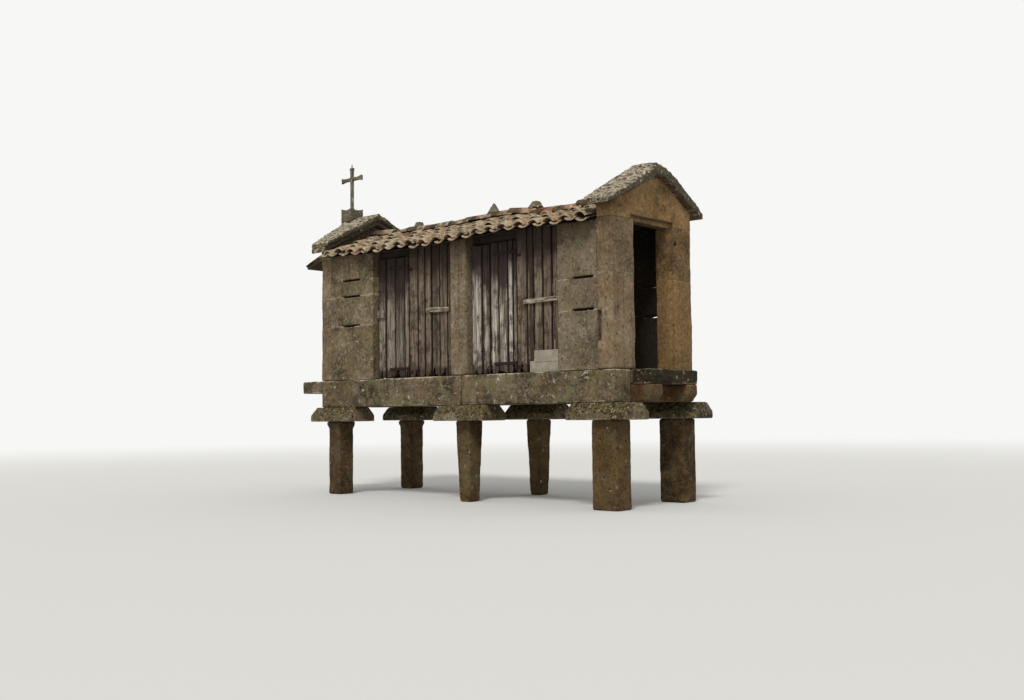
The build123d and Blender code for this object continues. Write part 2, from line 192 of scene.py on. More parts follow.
def handOver(piece, body, slotName, material, *replaced):
    # material is None for a piece whose parts have their own
    if material:
        coat(piece, material)
    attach(piece, body)
    if replaced:
        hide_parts(*replaced)


# Shader maths


def paint(red, green, blue):
    # a colour given on a 0 to 255 screen scale
    def linear(value):
        share = value / 255
        return share / 12.92 if share <= 0.04045 else ((share + 0.055) / 1.055) ** 2.4
    return (linear(red), linear(green), linear(blue), 1.0)


def painted(look):
    # a look's colours, its tuples of three numbers, are made into paint
    made = {}
    for key, value in look.items():
        if isinstance(value, list):
            made[key] = [paint(*colour) for colour in value]
        else:
            made[key] = paint(*value) if isinstance(value, tuple) and len(value) == 3 else value
    return made


class Wire:
    def __init__(self, graph, socket):
        self.graph = graph
        self.socket = socket

    def maths(self, operation, other, swapped=False):
        pair = (other, self) if swapped else (self, other)
        return self.graph.add("ShaderNodeMath", {"operation": operation}, {0: pair[0], 1: pair[1]})

    def __add__(self, other):
        return self.maths("ADD", other)

    __radd__ = __add__

    def __sub__(self, other):
        return self.maths("SUBTRACT", other)

    def __rsub__(self, other):
        return self.maths("SUBTRACT", other, True)

    def __mul__(self, other):
        return self.maths("MULTIPLY", other)

    __rmul__ = __mul__

    def bigger(self, other):
        return self.maths("MAXIMUM", other)

    def above(self, low, high):
        # 0 below low, 1 above high, smooth between
        settings = {"interpolation_type": "SMOOTHSTEP", "clamp": True}
        return self.graph.add("ShaderNodeMapRange", settings, {0: self, 1: low, 2: high, 3: 0.0, 4: 1.0})

    def below(self, low, high):
        return 1 - self.above(low, high)


class Graph:
    def __init__(self, name, family="materials"):
        self.owner = getattr(bpy.data, family).new(name)
        self.owner.use_nodes = True
        self.tree = self.owner.node_tree
        self.tree.nodes.clear()

    def add(self, kind, settings=None, inputs=None, output=0):
        node = self.tree.nodes.new(kind)
        for key, value in (settings or {}).items():
            if key == "stops":
                self.setStops(node.color_ramp, value)
            else:
                setattr(node, key, value)
        for key, value in (inputs or {}).items():
            if isinstance(value, Wire):
                self.tree.links.new(value.socket, node.inputs[key])
            else:
                node.inputs[key].default_value = value
        return Wire(self, node.outputs[output]) if node.outputs else None

    def setStops(self, ramp, stops):
        while len(ramp.elements) < len(stops):
            ramp.elements.new(0.5)
        for element, (place, colour) in zip(ramp.elements, stops):
            element.position = place
            element.color = colour

    def mix(self, share, first, second):
        return self.add("ShaderNodeMix", {"data_type": "RGBA"}, {0: share, 6: first, 7: second}, 2)

    def spot(self):
        return self.add("ShaderNodeTexCoord", output="Object")

    def stretched(self, vector, scale):
        return self.add("ShaderNodeMapping", None, {"Vector": vector, "Scale": scale})

    def moved(self, vector, amount):
        # shifts a pattern by one number, so that each stone or board has its own
        offset = self.add("ShaderNodeCombineXYZ", None, {0: amount, 1: amount * 1.7, 2: amount * 0.6})
        return self.add("ShaderNodeVectorMath", {"operation": "ADD"}, {0: vector, 1: offset})

    def noise(self, vector, scale, detail=4.0, rough=0.55, twist=0.0):
        inputs = {"Vector": vector, "Scale": scale, "Detail": detail, "Roughness": rough, "Distortion": twist}
        return self.add("ShaderNodeTexNoise", None, inputs)

    def cells(self, vector, scale):
        return self.add("ShaderNodeTexVoronoi", None, {"Vector": vector, "Scale": scale})

    def number(self, name):
        return self.add("ShaderNodeAttribute", {"attribute_name": name}, output="Fac")

    def part(self, vector, axis):
        return self.add("ShaderNodeSeparateXYZ", None, {0: vector}, axis)

    def height(self, vector):
        return self.part(vector, "Z")

    def facing(self, axis):
        return self.part(self.add("ShaderNodeNewGeometry", output="Normal"), axis)

    def close(self, colour, roughness, bump, depth, **fixed):
        relief = self.add("ShaderNodeBump", None, {"Strength": 0.9, "Distance": depth, "Height": bump})
        inputs = {"Base Color": colour, "Roughness": roughness, "Specular IOR Level": 0.15, "Normal": relief}
        surface = self.add("ShaderNodeBsdfPrincipled", None, {**inputs, **fixed})
        self.add("ShaderNodeOutputMaterial", None, {"Surface": surface})
        return self.owner


# Materials


def granite(name, look):
    look = painted(look)
    g = Graph(name)
    spot = g.spot()
    tone = g.number("stoneTone")
    own = g.moved(spot, tone * 9)
    up = g.facing("Z")
    top = up.above(0.25, 0.75)
    broad = g.noise(own, 2.6, 8, 0.6)
    patchy = g.noise(own, 11, 9, 0.72, 0.3)
    speck = g.noise(own, 34, 6, 0.72)
    grain = g.noise(own, 120, 4, 0.65)

    # patches of light and dark stone, a hand or two wide, then specks a finger wide
    stops = [(0.36, look["dark"]), (0.45, look["shade"]), (0.53, look["stone"]), (0.65, look["light"])]
    mottle = broad * 0.55 + patchy * 0.45 + (tone - 0.5) * 0.07
    colour = g.add("ShaderNodeValToRGB", {"stops": stops}, {0: mottle})
    colour = g.mix(g.number("stoneShade"), colour, look["dark"])
    warmth = g.noise(own, 4.4, 6, 0.65, 0.4).above(0.5, 0.62) * 0.5 + tone.above(0.3, 0.9) * 0.3
    colour = g.mix(warmth, colour, look["warm"])
    if "warmAbove" in look:
        low, high = look["warmAbove"]
        colour = g.mix(g.height(spot).above(low, high) * 0.6, colour, look["warm"])
    colour = g.mix(speck.above(0.54, 0.63) * 0.5, colour, look["light"])
    colour = g.mix(speck.below(0.37, 0.455) * look["specks"], colour, look["pit"])
    colour = g.mix(grain.below(0.4, 0.5) * 0.3, colour, look["pit"])

    # rain runs down the upright faces, and painted shade darkens the wall under the eave
    runs = g.noise(g.stretched(own, (26, 26, 1.3)), 1.0, 6, 0.66)
    wet = g.noise(own, 1.5, 3).above(0.4, 0.6)
    upright = up.below(0.3, 0.6)
    colour = g.mix(runs.above(0.5, 0.68) * upright * wet * look["streaks"], colour, look["streak"])
    # painted shade under the eave, its lower edge wandering with the stone's patches
    if "darkAbove" in look:
        low, high = look["darkAbove"]
        wander = g.height(spot) + (broad - 0.5) * 0.5
        colour = g.mix(wander.above(low, high) * 0.6, colour, look["paintedShade"])

    # green algae, moss, then pale crusts and round lichens, thickest where the stone faces up
    algae = g.noise(own, 3.6, 9, 0.68, 0.5).above(0.5, 0.6)
    colour = g.mix(algae * look["algae"], colour, look["green"])
    mossy = g.noise(own, 8, 9, 0.7, 0.6)
    mossShare = (mossy + top * 0.06).above(0.62 - 0.14 * look["moss"], 0.68 - 0.12 * look["moss"])
    colour = g.mix(mossShare * 0.85 * look["moss"], colour, look["mossy"])
    crust = g.noise(own, 15, 9, 0.7, 0.5)
    pale = (crust + top * 0.05).above(0.66 - 0.18 * look["lichen"], 0.7 - 0.16 * look["lichen"])
    colour = g.mix(pale * 0.85, colour, g.mix(patchy.above(0.45, 0.56), look["pale"], look["palest"]))
    rings = g.cells(own, 7.5)
    dots = rings.below(0.13, 0.2) * broad.above(0.47, 0.54)
    colour = g.mix(dots * look["dots"], colour, look["pale"])
    flecks = g.cells(own, 21).below(0.1, 0.17) * patchy.above(0.49, 0.56)
    colour = g.mix(flecks * look["dots"] * 0.5, colour, look["palest"])
    pits = g.cells(own, 17).below(0.16, 0.25) * crust.above(0.48, 0.54)
    colour = g.mix(pits * look["pits"], colour, look["pit"])

    # broken edges show fresh pale stone
    worn = (g.number("stoneEdge") + (patchy - 0.5) * 2.4).above(0.4, 0.8) * broad.above(0.43, 0.52)
    colour = g.mix(worn * look["chips"], colour, look["rim"])

    # a slope that rain and dust lie on is overgrown
    if "slope" in look:
        clumps = g.noise(own, 21, 8, 0.74)
        growth = g.mix(clumps.above(0.42, 0.56), look["slopeDark"], look["slope"])
        growth = g.mix(speck.above(0.55, 0.62) * 0.8, growth, look["palest"])
        low, high = look["slopeFrom"]
        share = (up + (mossy - 0.5) * 0.6).above(low, high)
        colour = g.mix(share * 0.92, colour, growth)
    # faces that look along +X get the side colour: painted shade on the left gable's face above the roof, a
    # dark green-grey on the copings' ends
    if "side" in look:
        share = g.facing("X").above(0.55, 0.8)
        share = share * (1 - dots) * speck.below(0.5, 0.66)
        colour = g.mix(share * 0.85, colour, look["side"])
    # painted shade: faces that look down are darker
    colour = g.mix(up.below(-0.75, -0.4) * 0.6, colour, look["paintedShade"])
    if "innerReach" in look:
        # painted shade: the chamber's inner walls are painted dark, as they stand in shade
        depth = g.add("ShaderNodeMath", {"operation": "ABSOLUTE"}, {0: g.part(spot, "Y")})
        inner = depth.below(look["innerReach"] + 0.01, look["innerReach"] + 0.02)
        colour = g.mix(inner * 0.86, colour, paint(30, 25, 21))

    relief = grain * 0.25 + speck * 0.6 + patchy * 0.8 + pale * 0.4 + dots * 0.2 - pits * 0.7
    return g.close(colour, 0.84 + grain * 0.14, relief, look["relief"])


stoneLook = {
    "light": (156, 139, 114), "stone": (124, 108, 86), "shade": (99, 85, 67), "dark": (68, 57, 45),
    "warm": (118, 96, 66), "pit": (42, 34, 27), "specks": 0.6, "chips": 0.6, "paintedShade": (62, 50, 40),
    "rim": (158, 144, 120), "streak": (70, 61, 52), "streaks": 0.6, "algae": 0.25, "green": (98, 96, 72),
    "mossy": (86, 80, 44), "moss": 0.15, "pale": (156, 150, 130), "palest": (190, 183, 162),
    "lichen": 0.12, "dots": 0.35, "pits": 0.45, "relief": 0.012,
}
stoneSlots = {
    "wall_stone": {"warmAbove": (floorTop + 0.9, floorTop + 1.7), "warm": (122, 98, 68), "chips": 0.35},
    "pier_stone": {
        "darkAbove": (floorTop + 1.04, floorTop + 1.6), "paintedShade": (70, 55, 42), "chips": 0.8,
        "light": (160, 144, 122), "stone": (124, 110, 91), "shade": (98, 86, 70), "dark": (62, 53, 42),
        "warm": (116, 99, 72), "innerReach": abs(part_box("pier_front_centre")[1].y),
    },
    "gable_stone": {
        "warm": (130, 98, 58), "light": (164, 134, 92), "stone": (136, 108, 72), "shade": (110, 85, 54),
        "dark": (76, 58, 40), "lichen": 0.0, "moss": 0.05, "dots": 0.1, "algae": 0.15, "pits": 0.2,
        "relief": 0.007, "chips": 0.2,
    },
    # the left pier, whose painted shade under the eave begins higher
    "left_pier_stone": {
        "darkAbove": (floorTop + 1.36, floorTop + 1.9), "paintedShade": (84, 68, 50), "chips": 0.9,
        "light": (162, 146, 120), "stone": (122, 107, 84), "shade": (94, 81, 60), "dark": (56, 47, 33),
        "warm": (116, 99, 66), "lichen": 0.26, "innerReach": abs(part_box("pier_front_centre")[1].y),
    },
    # the left gable, with painted shade on its face that looks along +X
    "left_gable_stone": {"side": (56, 42, 31), "warm": (118, 96, 66)},
    "beam_stone": {
        "light": (150, 135, 110), "stone": (112, 99, 79), "shade": (82, 70, 54), "dark": (48, 40, 30),
        "moss": 0.4, "lichen": 0.42, "dots": 0.45, "algae": 0.75, "green": (106, 100, 68), "pits": 0.7,
        "chips": 1.0, "rim": (172, 158, 130),
    },
    "cap_stone": {
        "light": (156, 144, 120), "stone": (100, 88, 67), "shade": (66, 56, 40), "dark": (30, 25, 18),
        "moss": 0.3, "lichen": 0.5, "dots": 0.4, "algae": 0.3, "pits": 1.0, "relief": 0.016,
        "paintedShade": (40, 32, 26), "slope": (92, 80, 48), "slopeDark": (38, 31, 18), "slopeFrom": (0.14, 0.36),
        "palest": (164, 154, 124), "specks": 1.0,
    },
    "pillar_stone": {
        "light": (120, 97, 62), "stone": (90, 70, 41), "shade": (62, 47, 28), "dark": (36, 28, 18),
        "warm": (82, 60, 32), "moss": 0.3, "lichen": 0.12, "dots": 0.25, "chips": 0.3, "relief": 0.012,
        "pits": 0.8,
    },
    "lichened_stone": {
        "light": (176, 162, 138), "stone": (122, 108, 86), "shade": (76, 66, 48), "dark": (32, 27, 18),
        "moss": 0.6, "lichen": 0.7, "dots": 1.0, "pits": 1.0, "algae": 0.4, "relief": 0.022,
        "palest": (216, 202, 178), "slope": (184, 168, 144), "slopeDark": (46, 40, 27),
        "slopeFrom": (0.2, 0.55), "specks": 1.0, "side": (74, 69, 54), "paintedShade": (66, 44, 34),
    },
    # the doorstep is dark all over: dark moss and stone, and painted shade
    "step_stone": {
        "light": (80, 60, 38), "stone": (46, 34, 21), "shade": (32, 24, 15), "dark": (17, 12, 8),
        "warm": (62, 44, 27), "moss": 0.7, "mossy": (52, 46, 24), "lichen": 0.34, "dots": 1.0,
        "chips": 0.3, "pits": 1.0, "algae": 0.5, "green": (56, 53, 36), "pale": (118, 108, 88),
        "palest": (190, 182, 164), "relief": 0.026, "specks": 1.0,
    },
    "corbel_stone": {
        "light": (112, 84, 50), "stone": (88, 64, 38), "shade": (66, 50, 32), "dark": (44, 35, 26),
        "warm": (112, 70, 34), "moss": 0.5, "lichen": 0.05, "dots": 0.5, "algae": 0.4, "chips": 0.2,
    },
    "cross_stone": {
        "light": (150, 146, 134), "stone": (122, 117, 104), "shade": (98, 93, 80), "dark": (66, 62, 52),
        "moss": 0.5, "lichen": 0.4, "algae": 0.6, "relief": 0.006,
    },
}
stoneMaterials = {name: granite(name, {**stoneLook, **changes}) for name, changes in stoneSlots.items()}

uprightGrain, levelGrain = (80, 80, 3.4), (4, 70, 70)


def weatheredWood(name, look, grain=uprightGrain):
    look = painted(look)
    g = Graph(name)
    spot = g.spot()
    tone = g.number("boardTone")
    own = g.moved(spot, tone * 11)
    fibre = g.noise(g.stretched(own, grain), 1.0, 9, 0.66)
    bands = g.noise(g.stretched(own, tuple(0.3 * value for value in grain)), 1.0, 6, 0.6)
    cracks = g.noise(g.stretched(own, tuple(1.4 * value for value in grain)), 1.0, 4, 0.5).above(0.58, 0.64)
    blotch = g.noise(own, 6, 8, 0.68)
    colour = g.mix(tone.above(0.15, 0.85), look["grey"], look["brown"])
    colour = g.mix(bands.above(0.46, 0.6) * 0.8, colour, look["silver"])
    colour = g.mix(fibre.below(0.38, 0.5) * 0.75, colour, look["stain"])
    colour = g.mix(fibre.above(0.55, 0.66) * 0.5, colour, look["silver"])
    colour = g.mix(blotch.above(0.5, 0.62) * 0.7, colour, look["stain"])
    knots = g.cells(g.stretched(own, (10, 10, 3.1)), 1.0)
    ring = knots.below(0.07, 0.13)
    colour = g.mix(ring * 0.85, colour, paint(40, 31, 26))
    colour = g.mix(cracks * 0.85, colour, paint(38, 31, 27))
    # painted shade in the gaps between boards, and moisture from both edges, darken a board's edges
    edge = (g.number("boardEdge") + (blotch - 0.5) * 0.5).above(0.74, 0.98)
    colour = g.mix(edge * 0.9, colour, paint(40, 32, 27))
    # the top of each board is darker: painted shade under the eave, and wood that the eave keeps from
    # bleaching
    if "shelterAndShadeBand" in look:
        low, high = look["shelterAndShadeBand"]
        wander = g.noise(own, 4.5, 5, 0.6) * 0.4 + (tone - 0.5) * 0.3
        shelterAndShade = (g.height(spot) + wander).above(low, high)
        colour = g.mix(shelterAndShade * look["shelterAndShadeShare"], colour, look["shelterAndShadeColour"])
        rot = (g.height(spot) - g.noise(own, 13, 5) * 0.2).below(floorTop - 0.02, floorTop + 0.06)
        colour = g.mix(rot * 0.8, colour, paint(50, 40, 33))
    relief = fibre * 0.9 + bands * 0.6 - cracks * 1.4 - ring * 0.5
    return g.close(colour, 0.8 + fibre * 0.16, relief, look["relief"])


woodLook = {
    "grey": (158, 149, 136), "brown": (104, 92, 79), "silver": (196, 187, 172), "stain": (66, 54, 45),
    "shelterAndShadeColour": (44, 33, 32), "shelterAndShadeShare": 0.94, "relief": 0.006,
    "shelterAndShadeBand": (floorTop + 1.1, floorTop + 1.42),
}
leafMaterial = weatheredWood("leaf_boards", woodLook)
darkLeafLook = {
    **woodLook, "grey": (122, 111, 98), "brown": (78, 66, 56), "silver": (152, 141, 127),
    "shelterAndShadeBand": (floorTop + 0.98, floorTop + 1.3),
}
darkLeafMaterial = weatheredWood("dark_leaf_boards", darkLeafLook)
fixedLook = {
    **woodLook, "grey": (106, 92, 77), "brown": (66, 54, 43), "silver": (136, 122, 104),
    "stain": (54, 43, 34), "shelterAndShadeColour": (52, 40, 34), "shelterAndShadeShare": 0.85,
    "shelterAndShadeBand": (floorTop + 1.12, floorTop + 1.62),
}
boardMaterial = weatheredWood("weathered_boards", fixedLook)
# painted shade: the roof timbers are painted very dark, as they stand in deep shade under the roof
timberLook = {
    "grey": (50, 41, 35), "brown": (42, 34, 29), "silver": (64, 54, 46), "stain": (34, 28, 24),
    "relief": 0.006,
}
timberMaterial = weatheredWood("roof_timber", timberLook, levelGrain)
poleLook = {
    **timberLook, "grey": (132, 121, 104), "brown": (104, 92, 76), "silver": (172, 162, 142),
    "stain": (72, 60, 48),
}
poleMaterial = weatheredWood("crossbar_wood", poleLook, levelGrain)


def firedClay(name, look):
    look = painted(look)
    g = Graph(name)
    spot = g.spot()
    tone = g.number("tileTone")
    reach = g.number("tileReach")
    own = g.moved(spot, tone * 9)
    stops = [(index / (len(look["clays"]) - 1), clay) for index, clay in enumerate(look["clays"])]
    colour = g.add("ShaderNodeValToRGB", {"stops": stops}, {0: tone})
    blotch = g.noise(own, 11, 6, 0.65)
    fine = g.noise(own, 90, 5, 0.65)
    colour = g.mix(blotch.above(0.47, 0.6) * 0.6, colour, look["burnt"])
    colour = g.mix(fine.above(0.5, 0.62) * 0.4, colour, look["dust"])
    up = g.facing("Z")
    crust = g.noise(own, 19, 9, 0.74, 0.5)
    pale = (crust + up.bigger(0) * 0.1).above(0.62 - 0.1 * look["lichen"], 0.7 - 0.08 * look["lichen"])
    colour = g.mix(pale * 0.8, colour, g.mix(blotch.above(0.4, 0.6), look["pale"], look["dust"]))
    # the lower rim is washed pale; painted shade darkens the part that lies under the next tile up
    rim = (reach + (blotch - 0.5) * 0.12).below(0.03, 0.13)
    colour = g.mix(rim * (0.25 + crust * 0.4), colour, look["pale"])
    shadedUnderNext = (reach + (blotch - 0.5) * 0.2).above(0.42, 0.62)
    colour = g.mix(shadedUnderNext * 0.75, colour, look["sootAndShade"])
    # dark soot patches
    sootAndShade = g.noise(own, 8, 9, 0.72, 0.5).above(0.52, 0.6)
    colour = g.mix(sootAndShade * look["sooty"], colour, look["sootAndShade"])
    # painted shade on the upturned pans, which lie low between the covers
    colour = g.mix(g.number("tileHollow") * (1 - rim) * 0.8, colour, look["sootAndShade"])
    mossy = g.noise(own, 12, 8, 0.72).above(0.57, 0.63)
    colour = g.mix(mossy * look["moss"], colour, paint(92, 88, 58))
    relief = fine * 0.5 + blotch * 0.5 + pale * 0.4
    return g.close(colour, 0.84 + fine * 0.12, relief, 0.004)


clayLook = {
    "clays": [(108, 88, 68), (152, 122, 90), (146, 92, 62), (166, 146, 116), (122, 102, 80), (154, 106, 76)],
    "burnt": (92, 68, 52), "dust": (160, 144, 116), "pale": (190, 176, 148), "sootAndShade": (42, 33, 25),
    "lichen": 0.75, "sooty": 0.7, "moss": 0.5,
}
tileMaterial = firedClay("clay_tile", clayLook)
# the hood's clay is redder and darker: tiles with little lichen, and painted shade, as the hood shows its
# shaded underside
hoodLook = {
    **clayLook, "clays": [(106, 58, 42), (122, 72, 52), (92, 54, 42), (116, 80, 60)], "lichen": 0.15,
}
hoodMaterial = firedClay("hood_tile", hoodLook)


def rustyIron(name):
    g = Graph(name)
    spot = g.spot()
    flakes = g.noise(spot, 60, 7, 0.7)
    colour = g.mix(flakes.above(0.35, 0.7), paint(34, 27, 23), paint(60, 43, 33))
    return g.close(colour, 0.7 + flakes * 0.2, flakes, 0.002, Metallic=0.3)


def paleSheet(name):
    g = Graph(name)
    spot = g.spot()
    worn = g.noise(spot, 9, 7, 0.7)
    fine = g.noise(spot, 80, 4)
    colour = g.mix(worn.above(0.4, 0.65), paint(134, 126, 110), paint(160, 152, 135))
    colour = g.mix(fine.above(0.55, 0.7) * 0.5, colour, paint(122, 112, 96))
    return g.close(colour, 0.6 + fine * 0.2, worn + fine * 0.3, 0.002)


ironMaterial = rustyIron("rusty_iron")
patchMaterial = paleSheet("patch_sheet")
print("materials made:", len(bpy.data.materials))


# Worn stones

stoneWear = {
    "voxel": 0.015,          # size of the remesh grid, m
    "slotVoxel": 0.012,      # finer, for walls with air slots
    "edge": 0.012,           # how far outer edges are knocked off, m
    "swell": 0.012,          # depth of the broad unevenness, m
    "pit": 0.006,            # depth of the fine unevenness, m
    "crust": 0.0,            # depth of the rough crust on top faces, which only some stones have, m
    "chipped": 0.03,         # width of the pale worn band along the edges, m
    "overlap": 0.004,        # stones meet this far past their joint, so that joints stay faint, m
    "rearGrid": 1.32,        # the remesh grid is this much coarser at the rear
    "ownDark": 0.2,          # the most that chance darkens a stone
}


def cloud(name, size, depth):
    texture = bpy.data.textures.new(name, "CLOUDS")
    texture.noise_scale = size
    texture.noise_depth = depth
    return texture


broadCloud = cloud("broadCloud", 0.26, 2)
fineCloud = cloud("fineCloud", 0.045, 3)
crustCloud = cloud("crustCloud", 0.055, 4)


def looseParts(thing):
    before = set(bpy.context.scene.objects)
    edited(thing, lambda: bpy.ops.mesh.separate(type="LOOSE"))
    return [thing] + [other for other in bpy.context.scene.objects if other not in before]


def closeHoles(thing):
    # a cut that the slice left open gets its face
    def fill():
        bpy.ops.mesh.select_non_manifold()
        bpy.ops.mesh.fill_holes(sides=0)

    edited(thing, fill, "DESELECT")


def cutInto(blocks, cuts):
    # cuts are (axis, place): every block that a cut crosses becomes two
    for axis, place in cuts:
        done = []
        for block in blocks:
            low, high = extent(block, axis)
            if not low + 0.02 < place < high - 0.02:
                done.append(block)
                continue
            other = copied(block, block.name + "b")
            normal = [0, 0, 0]
            normal[axis] = 1
            point = [0, 0, 0]
            point[axis] = place + stoneWear["overlap"]
            sliced(block, point, normal, clear_outer=True)
            point[axis] = place - stoneWear["overlap"]
            sliced(other, point, normal, clear_inner=True)
            closeHoles(block)
            closeHoles(other)
            done += [block, other]
        blocks = done
    return blocks


def weighted(block, name, share):
    # a vertex group whose weight is worked out from how far each vertex faces up
    group = block.vertex_groups.new(name=name)
    for vertex in block.data.vertices:
        weight = share(vertex.normal.z)
        if weight > 0.01:
            group.add([vertex.index], min(1.0, weight), "REPLACE")


def wornStone(block, wear, voxel, middle, shape):
    # faces that other stones lie on stay put, so no light shows between the courses
    addModifier(block, "REMESH", mode="VOXEL", voxel_size=voxel)
    finishModifiers(block)
    if shape:
        for vertex in block.data.vertices:
            vertex.co.z += shape(vertex.co)
    inward = middle == 1.0
    weighted(block, "sides", lambda z: 1 - z ** 4)
    roughen(block, broadCloud, wear["swell"], middle, "sides")
    roughen(block, fineCloud, wear["pit"], 1.0 if inward else 0.9, "sides")
    if wear["crust"]:
        weighted(block, "top", lambda z: z if 0.25 < z < 0.97 or inward and z > 0 else 0)
        roughen(block, crustCloud, wear["crust"], 0.6, "top")
    finishModifiers(block)
    bpy.ops.object.shade_smooth()


def markEdges(block):
    # 1 at the top and the bottom of the block, where it meets the next, falling to 0 away from them
    low, high = extent(block, 2)
    values = []
    for vertex in block.data.vertices:
        depth = min(vertex.co.z - low, high - vertex.co.z)
        values.append(max(0.0, 1 - depth / stoneWear["chipped"]))
    layer = block.data.attributes.new("stoneEdge", "FLOAT", "POINT")
    layer.data.foreach_set("value", values)


def runOn(whole, node, reach, sink):
    # reach is how far the piece runs on into its neighbours at its low and its high X end, sink at its foot
    near = 0.001
    low, high = extent(whole, 0)
    foot = extent(whole, 2)[0]
    middleY = sum(extent(whole, 1)) / 2
    for vertex in whole.data.vertices:
        if vertex.co.x < low + near:
            vertex.co.x -= reach[0]
        elif vertex.co.x > high - near:
            vertex.co.x += reach[1]
        if vertex.co.z < foot + near:
            vertex.co.z -= sink
        if node in copingSlabs and abs(vertex.co.y) < near:
            vertex.co.y -= math.copysign(coping["meet"], middleY)


def stonePiece(
    node, cuts=(), material=None, inward=False, middle=0.5, shades=(), shape=None,
    reach=(0.0, 0.0), sink=0.0, **changes,
):
    # changes are this piece's own values for stoneWear
    wear = {**stoneWear, **changes}
    rng = random.Random(node)
    whole = copiedNode(node, node)
    runOn(whole, node, reach, sink)
    addModifier(
        whole, "BEVEL", width=wear["edge"], segments=2, limit_method="ANGLE", angle_limit=math.radians(35),
    )
    finishModifiers(whole)
    voxel = wear["voxel"] * (wear["rearGrid"] if "rear" in node else 1.0)
    blocks = cutInto(looseParts(whole), cuts)
    for block in blocks:
        wornStone(block, wear, voxel, 1.0 if inward else middle, shape)
        markEdges(block)
        setTone(block, "stoneTone", rng.random())
        # shades are (place along X, darkness): stones that end before the place are that much darker
        end = extent(block, 0)[1]
        dark = next((darkness for place, darkness in shades if end < place), rng.random() * wear["ownDark"])
        setTone(block, "stoneShade", dark)
    piece = joined(blocks, node + "_stones")
    slotName = slotOf[node]
    handOver(piece, "granary", slotName, stoneMaterials[material or slotName], node)
    return piece


copingSlabs = ("coping_right_front", "coping_right_rear", "coping_left_front", "coping_left_rear")
coping = {
    "meet": 0.014,           # the two slabs of a gable run this far into each other at the ridge, m
    "slab": 0.13,            # thickness of a slab on the right, m
    "rounded": 0.2,          # length of its worn outer end, m
    "worn": 0.045,           # the most that wear has taken off the end, m
    "rearWorn": 0.3,         # share of that wear at the rear
    "bedRise": 0.012,        # the left bed's top rises this far into the slabs on it, m
    "gableFoot": 0.02,       # a gable starts to swell this far above the jambs, m
}
# how much fuller each gable is than the CAD's: (place from the front eave at -1 to the rear eave at 1,
# rise of the underside of the coping, rise of its top), in metres
gableSwell = {
    "right": (
        (-1.0, 0.045, 0.028), (-0.7, 0.03, 0.012), (-0.45, 0.006, 0.0), (-0.2, 0.0, 0.008),
        (-0.05, 0.004, 0.02), (0.0, 0.016, 0.026), (0.15, 0.074, 0.06), (0.3, 0.096, 0.082),
        (0.45, 0.09, 0.086), (0.6, 0.078, 0.086), (0.8, 0.078, 0.084), (1.0, 0.09, 0.074),
    ),
    "left": (
        (-1.0, 0.0, 0.0), (-0.3, 0.0, 0.0), (0.0, 0.006, 0.006), (0.15, 0.036, 0.036), (0.45, 0.048, 0.048),
        (0.75, 0.026, 0.026), (1.0, 0.0, 0.0),
    ),
}
copingEnds = {"right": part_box("coping_right_rear"), "left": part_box("coping_bed_left")}
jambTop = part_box("gable_right")[0].z


def swellAt(side, y):
    # rise of the underside and of the top of the coping
    share = y / copingEnds[side][1].y
    table = gableSwell[side]
    for (s0, under0, top0), (s1, under1, top1) in zip(table, table[1:]):
        if s0 <= share <= s1:
            part = (share - s0) / (s1 - s0)
            return under0 + (under1 - under0) * part, top0 + (top1 - top0) * part
    return table[0][1:] if share < 0 else table[-1][1:]


def gableLine(side, y):
    # underside of the coping, straight from the apex to the eave
    low, high = copingEnds[side]
    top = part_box(f"gable_{side}")[1].z
    return top + (low.z - top) * abs(y) / high.y


def inUnit(value):
    return min(1.0, max(0.0, value))


def fullerGable(side):
    def rise(point):
        foot = jambTop + coping["gableFoot"]
        share = (point.z - foot) / (gableLine(side, point.y) - foot)
        return swellAt(side, point.y)[0] * inUnit(share)
    return rise


def roundedCoping(point):
    # the slab follows the fuller gable, and its outer end is worn round
    under, top = swellAt("right", point.y)
    deep = inUnit((point.z - gableLine("right", point.y)) / coping["slab"])
    start = copingEnds["right"][1].x - coping["rounded"]
    worn = inUnit((point.x - start) / coping["rounded"]) ** 2 * coping["worn"]
    if point.y > 0:
        worn *= coping["rearWorn"]
    return under + (top - under - worn) * deep


def raisedCoping(point):
    return swellAt("left", point.y)[1]


def raisedBed(point):
    thickness = copingEnds["left"][1].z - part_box("gable_left")[1].z
    deep = (point.z - gableLine("left", point.y)) / thickness
    return raisedCoping(point) + inUnit(deep) * coping["bedRise"]


# joints between the courses of the wall, heights above the floor in metres
courses = {
    "pier_left": (0.683, 1.054, 1.258),
    "pier_centre": (),
    "pier_right": (0.628, 0.967),
    "jamb_right": (1.0,),
    "jamb_left": (0.68, 1.06),
}
# a stone runs this far into the next at the corners of the wall, and a gable this far into the jambs, m
cornerReach, gableSink = 0.012, 0.008
pierDark = (wallLeft + 1.1, 0.16)


def coursesAt(key):
    return [(2, floorTop + level) for level in courses[key]]


